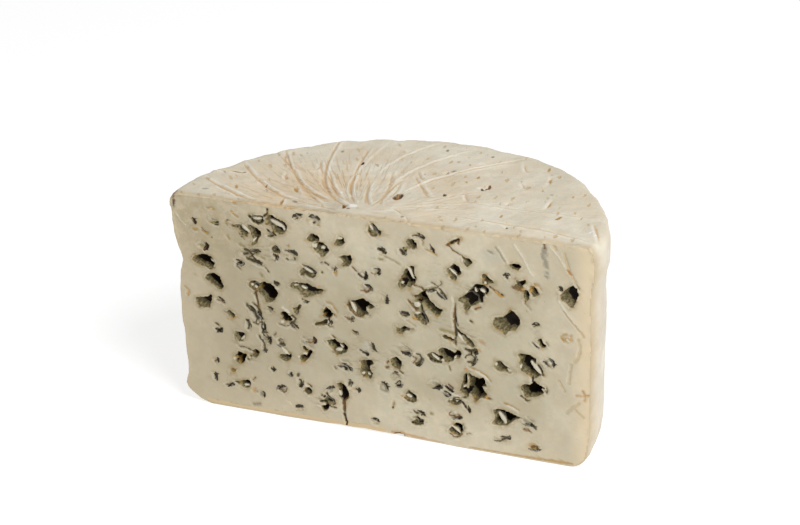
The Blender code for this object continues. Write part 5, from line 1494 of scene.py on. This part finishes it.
# A node with its settings; each given value is a link where it is a socket, and otherwise a constant
def addNode(tree, kind, given=(), **settings):
    made = tree.nodes.new(kind)
    for name, value in settings.items():
        setattr(made, name, value)
    for socket, value in dict(given).items():
        if isinstance(value, bpy.types.NodeSocket):
            tree.links.new(value, made.inputs[socket])
        else:
            made.inputs[socket].default_value = value
    return made


def reckon(tree, operation, *values):
    return addNode(tree, "ShaderNodeMath", enumerate(values), operation=operation).outputs[0]


def mapped(tree, value, start, end, least=0.0, most=1.0, way="SMOOTHSTEP"):
    given = {"Value": value, "From Min": start, "From Max": end, "To Min": least, "To Max": most}
    return addNode(tree, "ShaderNodeMapRange", given, interpolation_type=way).outputs[0]


def evenly(tree, value, start, end, least=0.0, most=1.0):
    return mapped(tree, value, start, end, least, most, "LINEAR")


def mixColour(tree, factor, first, second, blend="MIX"):
    given = {0: factor}
    for socket, value in ((6, first), (7, second)):
        given[socket] = (*value, 1) if isinstance(value, tuple) else value
    return addNode(tree, "ShaderNodeMix", given, data_type="RGBA", blend_type=blend).outputs[2]


def objectPlace(tree):
    return addNode(tree, "ShaderNodeTexCoord").outputs["Object"]


def painted(tree, name):
    return addNode(tree, "ShaderNodeAttribute", attribute_name=name).outputs


def cloudNoise(tree, size, detail, roughness=0.5):
    scale = reckon(tree, "DIVIDE", 1.0, size)
    given = {"Vector": objectPlace(tree), "Scale": scale, "Detail": detail, "Roughness": roughness}
    return addNode(tree, "ShaderNodeTexNoise", given).outputs[0]


def stepRound(tree, value, middle, softness):
    start, end = (reckon(tree, way, middle, softness) for way in ("SUBTRACT", "ADD"))
    return mapped(tree, value, start, end)


def mottleGroup():
    inputs = {"Size": 0.01, "Sharpness": 0.3, "Low": (0, 0, 0, 1), "High": (1, 1, 1, 1)}
    group, given, result = startGroup("mottle", inputs, ["Colour", "Mask"])
    mask = stepRound(group, cloudNoise(group, given["Size"], 4.0, 0.6), 0.5, given["Sharpness"])
    group.links.new(mixColour(group, mask, given["Low"], given["High"]), result["Colour"])
    group.links.new(mask, result["Mask"])
    return group


def raggedGroup():
    inputs = {"Value": 0.0, "Middle": 0.5, "Softness": 0.2, "Ragged": 0.3, "Size": 0.001}
    group, given, result = startGroup("raggedMask", inputs, ["Mask"])
    centred = reckon(group, "SUBTRACT", cloudNoise(group, given["Size"], 3.0, 0.6), 0.5)
    moved = reckon(group, "MULTIPLY_ADD", centred, given["Ragged"], given["Value"])
    group.links.new(stepRound(group, moved, given["Middle"], given["Softness"]), result["Mask"])
    return group


def grainGroup():
    inputs = {"Coarse": 0.004, "Fine": 0.0008, "Fine share": 0.4}
    group, given, result = startGroup("pasteGrain", inputs, ["Height"])
    coarse, fine = (cloudNoise(group, given[label], 3.0) for label in ("Coarse", "Fine"))
    group.links.new(reckon(group, "MULTIPLY_ADD", fine, given["Fine share"], coarse), result["Height"])
    return group


dashShape = {"largest": 0.27, "soft": (-0.03, 0.10), "bend": (0.45, 0.45, 0.0), "bendScale": 700.0}


# Scattered short dashes: slightly bent cells of a grid drawn out along the dashes, of which a share is filled
def dashGroup():
    inputs = {"Turn": 0.0, "Width": 0.004, "Length": 0.008, "Share": 0.4}
    group, given, result = startGroup("dashes", inputs, ["Mask"])
    place = objectPlace(group)
    heading = {"Vector": place, "Angle": given["Turn"]}
    turned = addNode(group, "ShaderNodeVectorRotate", heading, rotation_type="Z_AXIS").outputs[0]
    scales = [reckon(group, "DIVIDE", 1.0, given[label]) for label in ("Width", "Length")]
    scale = addNode(group, "ShaderNodeCombineXYZ", enumerate(scales)).outputs[0]
    scaled = addNode(group, "ShaderNodeVectorMath", {0: turned, 1: scale}, operation="MULTIPLY").outputs[0]
    cloud = addNode(group, "ShaderNodeTexNoise", {"Vector": place, "Scale": dashShape["bendScale"]})
    bending = {0: cloud.outputs["Color"], 1: dashShape["bend"], 2: scaled}
    bent = addNode(group, "ShaderNodeVectorMath", bending, operation="MULTIPLY_ADD").outputs[0]
    field = {"Vector": bent, "Scale": 1.0}
    cells = addNode(group, "ShaderNodeTexVoronoi", field, voronoi_dimensions="2D").outputs
    chance = addNode(group, "ShaderNodeSeparateColor", {0: cells["Color"]}).outputs[0]
    least = reckon(group, "SUBTRACT", 1.0, given["Share"])
    size = evenly(group, chance, least, 1.0, 0.0, dashShape["largest"])
    inside = reckon(group, "SUBTRACT", size, cells["Distance"])
    group.links.new(mapped(group, inside, *dashShape["soft"]), result["Mask"])
    return group


groups = {"mottle": mottleGroup(), "ragged": raggedGroup(), "grain": grainGroup(), "dashes": dashGroup()}


def mottleNode(tree, size, sharpness, low=(0, 0, 0), high=(1, 1, 1)):
    given = {"Size": size, "Sharpness": sharpness, "Low": (*low, 1), "High": (*high, 1)}
    return addNode(tree, "ShaderNodeGroup", given, node_tree=groups["mottle"]).outputs


def raggedNode(tree, value, middle, softness, ragged, size):
    given = {"Value": value, "Middle": middle, "Softness": softness, "Ragged": ragged, "Size": size}
    return addNode(tree, "ShaderNodeGroup", given, node_tree=groups["ragged"]).outputs["Mask"]


def dashNode(tree, turn, width, length, share):
    given = {"Turn": math.radians(turn), "Width": width, "Length": length, "Share": share}
    return addNode(tree, "ShaderNodeGroup", given, node_tree=groups["dashes"]).outputs["Mask"]


def grainNode(tree, coarse, fine, share, distance):
    given = {"Coarse": coarse, "Fine": fine, "Fine share": share}
    height = addNode(tree, "ShaderNodeGroup", given, node_tree=groups["grain"]).outputs["Height"]
    bump = {"Strength": 1.0, "Distance": distance, "Height": height}
    return addNode(tree, "ShaderNodeBump", bump).outputs["Normal"]


def startMaterial(name, look):
    material = bpy.data.materials.new(name)
    material.use_nodes = True
    shader = material.node_tree.nodes["Principled BSDF"]
    values = {
        "IOR": 1.45, "Specular IOR Level": look["sheen"], "Coat Roughness": look["wetRoughness"],
        "Subsurface Weight": look["glow"], "Subsurface Radius": (1.0, 0.7, 0.4), "Subsurface Scale": 0.0015}
    for socket, value in values.items():
        shader.inputs[socket].default_value = value
    return material, material.node_tree, shader


# One more tint of a look over the colour so far, where its mask is, as strongly as the look says
def layer(tree, look, name, colour, mask, blend="MIX"):
    if name in look["shares"]:
        mask = reckon(tree, "MULTIPLY", mask, look["shares"][name])
    return mixColour(tree, mask, colour, look[name], blend)


# The ragged mask of a painted value
def maskOf(tree, look, name, value=None):
    if value is None:
        value = painted(tree, name)["Fac"]
    return raggedNode(tree, value, *look["masks"][name])


# A painted colour over the colour so far
def paintedLayer(tree, look, name, colour):
    spot = painted(tree, name)
    return mixColour(tree, maskOf(tree, look, name, spot["Alpha"]), colour, spot["Color"])


cutLook = {
    "glow": 0.12,
    "sheen": 0.15,
    "wetRoughness": 0.25,
    "grain": (0.0045, 0.0007, 0.25, 0.00012),    # coarse, fine, share of the fine, height
    "pasteMottle": (0.020, 0.16),      # size, sharpness
    "pasteLow": (0.550, 0.475, 0.330),
    "pasteHigh": (0.650, 0.580, 0.430),
    "smudgeMottle": (0.008, 0.12),
    "smudge": (0.54, 0.50, 0.40),
    "pasteLeft": (0.44, 0.365, 0.235),
    "core": (0.82, 0.82, 0.79),
    "blooms": [                        # size, tint, and how much shows away from the upper left corner
        (0.0052, (0.37, 0.32, 0.19), 0.08),
        (0.0034, (0.52, 0.41, 0.27), 0.08),
        (0.0040, (0.37, 0.34, 0.25), 0.08),
        (0.0027, (0.34, 0.25, 0.10), 0.02),
    ],
    "bloomSharpness": 0.06,
    "bloomMost": 0.28,
    "edge": (0.62, 0.52, 0.35),
    "rightEdge": (0.76, 0.61, 0.40),
    # multiplied in round the caves and dark strokes: a brownish tint and painted shade
    "tintAndShade": (0.70, 0.64, 0.50),
    "speck": (0.33, 0.25, 0.12),
    # near black of the painted shade deep in the caves
    "paintedCaveShade": (0.010, 0.006, 0.003),
    "mouldMiddle": (0.088, 0.071, 0.030),
    "mouldPale": (0.27, 0.225, 0.120),
    "mouldMottle": (0.0011, 0.12),
    "smear": (0.21, 0.18, 0.105),
    "streakTurn": -42.0,
    "streakScale": (260, 260, 1000),
    "tongue": (0.58, 0.53, 0.41),
    # the pale of the painted highlights
    "paintedHighlight": (0.64, 0.60, 0.49),
    "mouldRoughness": 0.20,            # added where there is mould
    "shares": {"smudge": 0.30, "smear": 0.55, "tintAndShade": 0.7, "speck": 0.65, "paintedHighlight": 0.30},
    "reaches": {                       # a value at its start and end, and what it gives there
        "pasteLeft": (-0.085, 0.0, 0.60, 0.0),
        "core": (6.0, 32.0),
        "edge": (0.0, 6.0, 0.16, 0.0),
        "rightEdge": (0.083, 0.092, 0.0, 0.6),
        "smear": (0.52, 0.66),
        "speck": (0.0, 1.0, 0.13, 0.27),
        # the mould made darker with depth, as painted shade
        "depth": (0.4, 4.0, 0.0, 0.75),
        "mould": (0.1, 0.7, 0.5),
        "coat": (0.0, 1.0, 0.35, 0.0),
        "roughness": (0.0, 1.0, 0.40, 0.20),
    },
    "masks": {                         # middle, softness, raggedness and its size
        "tintAndShade": (0.62, 0.52, 1.10, 0.0016),
        "speck": (0.50, 0.05, 1.60, 0.0024),
        "mould": (0.32, 0.10, 0.42, 0.0010),
        "paintedShade": (0.51, 0.08, 0.42, 0.0016),
        "paintedHighlight": (0.50, 0.20, 0.50, 0.0012),
        "stain": (0.50, 0.30, 0.40, 0.0008),
        "tongue": (0.50, 0.20, 0.35, 0.0010),
        "stroke": (0.52, 0.16, 0.55, 0.0008),
    },
}


def pasteColour(tree, look):
    colour = mottleNode(tree, *look["pasteMottle"], look["pasteLow"], look["pasteHigh"])["Colour"]
    colour = layer(tree, look, "smudge", colour, mottleNode(tree, *look["smudgeMottle"])["Mask"])
    across = addNode(tree, "ShaderNodeSeparateXYZ", {0: objectPlace(tree)}).outputs[0]
    colour = layer(tree, look, "pasteLeft", colour, mapped(tree, across, *look["reaches"]["pasteLeft"]))
    gap = painted(tree, "rindGap")["Fac"]
    colour = layer(tree, look, "core", colour, mapped(tree, gap, *look["reaches"]["core"]), "MULTIPLY")
    bloom = painted(tree, "bloom")["Fac"]
    for size, tint, least in look["blooms"]:
        patch = mottleNode(tree, size, look["bloomSharpness"])["Mask"]
        amount = evenly(tree, bloom, 0.0, 1.0, least, look["bloomMost"])
        colour = mixColour(tree, reckon(tree, "MULTIPLY", patch, amount), colour, tint)
    colour = layer(tree, look, "edge", colour, mapped(tree, gap, *look["reaches"]["edge"]))
    return layer(tree, look, "rightEdge", colour, mapped(tree, across, *look["reaches"]["rightEdge"]))


def smearMask(tree, look):
    turn = (0, math.radians(look["streakTurn"]), 0)
    given = {"Vector": objectPlace(tree), "Rotation": turn, "Scale": look["streakScale"]}
    turned = addNode(tree, "ShaderNodeMapping", given).outputs[0]
    cloud = addNode(tree, "ShaderNodeTexNoise", {"Vector": turned, "Scale": 1.0, "Detail": 3.0}).outputs[0]
    streaks = mapped(tree, cloud, *look["reaches"]["smear"])
    return reckon(tree, "MULTIPLY", streaks, painted(tree, "smear")["Fac"])


# The mould's colour, made darker with depth as painted shade, and near black where the painted shade is
def mouldAndShadeColour(tree, look):
    mottled = mottleNode(tree, *look["mouldMottle"], look["mouldMiddle"], look["mouldPale"])["Colour"]
    depth = evenly(tree, painted(tree, "depth")["Fac"], *look["reaches"]["depth"])
    colour = mixColour(tree, depth, mottled, look["mouldMiddle"])
    return mixColour(tree, maskOf(tree, look, "paintedShade"), colour, look["paintedCaveShade"])


def cutMaterial():
    look = cutLook
    material, tree, shader = startMaterial("cutPaste", look)
    colour = layer(tree, look, "smear", pasteColour(tree, look), smearMask(tree, look))
    # A brownish tint and painted shade round the caves and dark strokes, and ochre specks in a band of it
    colour = layer(tree, look, "tintAndShade", colour, maskOf(tree, look, "tintAndShade"), "MULTIPLY")
    speckled = evenly(tree, painted(tree, "tintAndShade")["Fac"], *look["reaches"]["speck"])
    colour = layer(tree, look, "speck", colour, maskOf(tree, look, "speck", speckled))
    mould = painted(tree, "mould")["Fac"]
    strength = evenly(tree, mould, *look["reaches"]["mould"])
    share = reckon(tree, "MULTIPLY", maskOf(tree, look, "mould", mould), strength)
    colour = mixColour(tree, share, colour, mouldAndShadeColour(tree, look))
    # Painted highlights on crescents, rolled lips and stroke banks
    colour = layer(tree, look, "paintedHighlight", colour, maskOf(tree, look, "paintedHighlight"))
    colour = paintedLayer(tree, look, "stain", colour)
    tongueMask = maskOf(tree, look, "tongue")
    colour = layer(tree, look, "tongue", colour, tongueMask)
    tree.links.new(paintedLayer(tree, look, "stroke", colour), shader.inputs["Base Color"])
    tree.links.new(evenly(tree, share, *look["reaches"]["coat"]), shader.inputs["Coat Weight"])
    gloss = evenly(tree, tongueMask, *look["reaches"]["roughness"])
    rough = reckon(tree, "MULTIPLY_ADD", share, look["mouldRoughness"], gloss)
    tree.links.new(rough, shader.inputs["Roughness"])
    tree.links.new(grainNode(tree, *look["grain"]), shader.inputs["Normal"])
    return material


rindLook = {
    "glow": 0.15,
    "sheen": 0.40,
    "wetRoughness": 0.22,
    "roughMottle": (0.008, 0.2),
    "grain": (0.005, 0.0011, 0.4, 0.00045),
    "grooves": 0.00016,
    "rindMottle": (0.022, 0.16),
    "low": (0.660, 0.595, 0.460),
    "high": (0.765, 0.710, 0.580),
    "blushMottle": (0.035, 0.12),
    "blush": (0.74, 0.62, 0.450),
    "warm": (0.72, 0.57, 0.38),
    "side": (0.90, 0.88, 0.87),
    "rim": (0.83, 0.77, 0.66),
    # the pale of a painted highlight on the raised side of a crease and on a raised ridge
    "ridgeHighlight": (0.84, 0.80, 0.70),
    "crease": (0.58, 0.37, 0.17),
    "fan": (0.58, 0.37, 0.17),
    "fleck": (0.55, 0.39, 0.18),
    "rightDashes": (-6, 0.0036, 0.0095, 0.34),   # turn in degrees, width, length, share
    "leftDashes": (-36, 0.0032, 0.0100, 0.40),
    "shares": {"blush": 0.30, "warm": 0.85, "ridgeHighlight": 0.7, "crease": 0.66, "fan": 0.66, "fleck": 0.75},
    "masks": {"crease": (0.50, 0.30, 0.45, 0.003), "stain": (0.50, 0.30, 0.40, 0.0008)},
    "reaches": {"roughness": (0.0, 1.0, 0.30, 0.48), "toLeft": (0.0, -0.03), "fan": (0.58, 0.68)},
    "topFrom": (0.006, 0.003),         # how far below the box's top the top's colours start and are full
}


def rindMaterial():
    look = rindLook
    material, tree, shader = startMaterial("rind", look)
    colour = mottleNode(tree, *look["rindMottle"], look["low"], look["high"])["Colour"]
    blush = mottleNode(tree, *look["blushMottle"])["Mask"]
    colour = layer(tree, look, "blush", colour, blush)
    spot = addNode(tree, "ShaderNodeSeparateXYZ", {0: objectPlace(tree)}).outputs
    onTop = evenly(tree, spot[2], *(high[2] - below for below in look["topFrom"]))
    toLeft = evenly(tree, spot[0], *look["reaches"]["toLeft"])
    toRight = reckon(tree, "SUBTRACT", 1.0, toLeft)
    straight = reckon(tree, "MULTIPLY", dashNode(tree, *look["rightDashes"]), toRight)
    slanted = reckon(tree, "MULTIPLY", dashNode(tree, *look["leftDashes"]), toLeft)
    dashMask = reckon(tree, "MULTIPLY", reckon(tree, "MAXIMUM", straight, slanted), onTop)
    colour = layer(tree, look, "fleck", colour, dashMask)
    fan = painted(tree, "fan")["Vector"]
    strength = addNode(tree, "ShaderNodeSeparateXYZ", {0: fan}).outputs[2]
    colour = layer(tree, look, "warm", colour, reckon(tree, "MULTIPLY", blush, strength))
    given = {"Vector": fan, "Scale": 1.0, "Detail": 1.0}
    cloud = addNode(tree, "ShaderNodeTexNoise", given, noise_dimensions="2D").outputs[0]
    lines = reckon(tree, "MULTIPLY", mapped(tree, cloud, *look["reaches"]["fan"]), strength)
    colour = layer(tree, look, "fan", colour, lines)
    # A painted highlight along the raised side of each crease and on raised ridges
    colour = layer(tree, look, "ridgeHighlight", colour, painted(tree, "ridgeHighlight")["Fac"])
    colour = layer(tree, look, "crease", colour, maskOf(tree, look, "crease"))
    colour = layer(tree, look, "side", colour, reckon(tree, "SUBTRACT", 1.0, onTop), "MULTIPLY")
    colour = layer(tree, look, "rim", colour, painted(tree, "rim")["Fac"], "MULTIPLY")
    tree.links.new(paintedLayer(tree, look, "stain", colour), shader.inputs["Base Color"])
    rough = mottleNode(tree, *look["roughMottle"])["Mask"]
    tree.links.new(evenly(tree, rough, *look["reaches"]["roughness"]), shader.inputs["Roughness"])
    given = {
        "Strength": 1.0, "Distance": look["grooves"], "Height": reckon(tree, "MAXIMUM", lines, dashMask),
        "Normal": grainNode(tree, *look["grain"])}
    grooved = addNode(tree, "ShaderNodeBump", given, invert=True)
    tree.links.new(grooved.outputs["Normal"], shader.inputs["Normal"])
    return material


mesh.materials.append(cutMaterial())
mesh.materials.append(rindMaterial())
print("finishes made")

# Floor, light and camera
studio = {
    "sky": 0.47,
    "keyTurn": 56.0,
    "keyHeight": 48.0,
    "keyDistance": 1.4,
    "keyWidth": 24.0,      # degrees across, as seen from the cheese
    "keyStrength": 2.05,
    "keyAim": (0.0, 0.0, 0.05),
    "floorHalf": 3.0,
    "floor": 0.50,
    "floorGlow": 0.65,
}

floorShape = bmesh.new()
bmesh.ops.create_grid(floorShape, x_segments=1, y_segments=1, size=studio["floorHalf"])
floorMesh = bpy.data.meshes.new("floor")
floorShape.to_mesh(floorMesh)
floorShape.free()
floor = bpy.data.objects.new("floor", floorMesh)
scene.collection.objects.link(floor)
floorMaterial = bpy.data.materials.new("whiteFloor")
floorMaterial.use_nodes = True
floorShader = floorMaterial.node_tree.nodes["Principled BSDF"]
floorShader.inputs["Base Color"].default_value = (*[studio["floor"]] * 3, 1)
floorShader.inputs["Roughness"].default_value = 0.9
floorShader.inputs["Emission Color"].default_value = (1, 1, 1, 1)
floorShader.inputs["Emission Strength"].default_value = studio["floorGlow"]
floorMesh.materials.append(floorMaterial)
floor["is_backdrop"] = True

world = bpy.data.worlds.new("softSky")
world.use_nodes = True
sky = world.node_tree.nodes["Background"]
sky.inputs["Color"].default_value = (1, 1, 1, 1)
sky.inputs["Strength"].default_value = studio["sky"]
scene.world = world
scene.view_settings.view_transform = "Standard"


def aimedFrom(turn, height):
    a, e = math.radians(turn), math.radians(height)
    return Vector((math.sin(a) * math.cos(e), -math.cos(a) * math.cos(e), math.sin(e)))


keyLight = bpy.data.lights.new("key", "AREA")
keyLight.shape = "DISK"
keyLight.size = 2 * studio["keyDistance"] * math.tan(math.radians(studio["keyWidth"] / 2))
keyLight.energy = studio["keyStrength"] * math.pi * studio["keyDistance"] ** 2
key = bpy.data.objects.new("key", keyLight)
keyFrom = aimedFrom(studio["keyTurn"], studio["keyHeight"])
key.location = keyFrom * studio["keyDistance"] + Vector(studio["keyAim"])
key.rotation_mode = "QUATERNION"
key.rotation_quaternion = (-keyFrom).to_track_quat("-Z", "Y")
scene.collection.objects.link(key)

view = {
    "turn": 22.65,
    "height": 24.71,
    "roll": -1.84,
    "distance": 0.8139,
    "lens": 82.85,
    "target": (-8.23, 44.07, 61.9),    # in the half wheel's own millimetres
}

cameraData = bpy.data.cameras.new("camera")
cameraData.lens = view["lens"]
cameraData.sensor_width = 36
camera = bpy.data.objects.new("camera", cameraData)
back = aimedFrom(view["turn"], view["height"])
camera.location = place @ Vector(view["target"]) + back * view["distance"]
camera.rotation_mode = "QUATERNION"
roll = Matrix.Rotation(math.radians(view["roll"]), 3, "Z").to_quaternion()
camera.rotation_quaternion = (-back).to_track_quat("-Z", "Y") @ roll
scene.collection.objects.link(camera)
scene.camera = camera
print("floor, light and camera set")

[[list(corner) for corner in box] for box in (cadBox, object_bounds())]
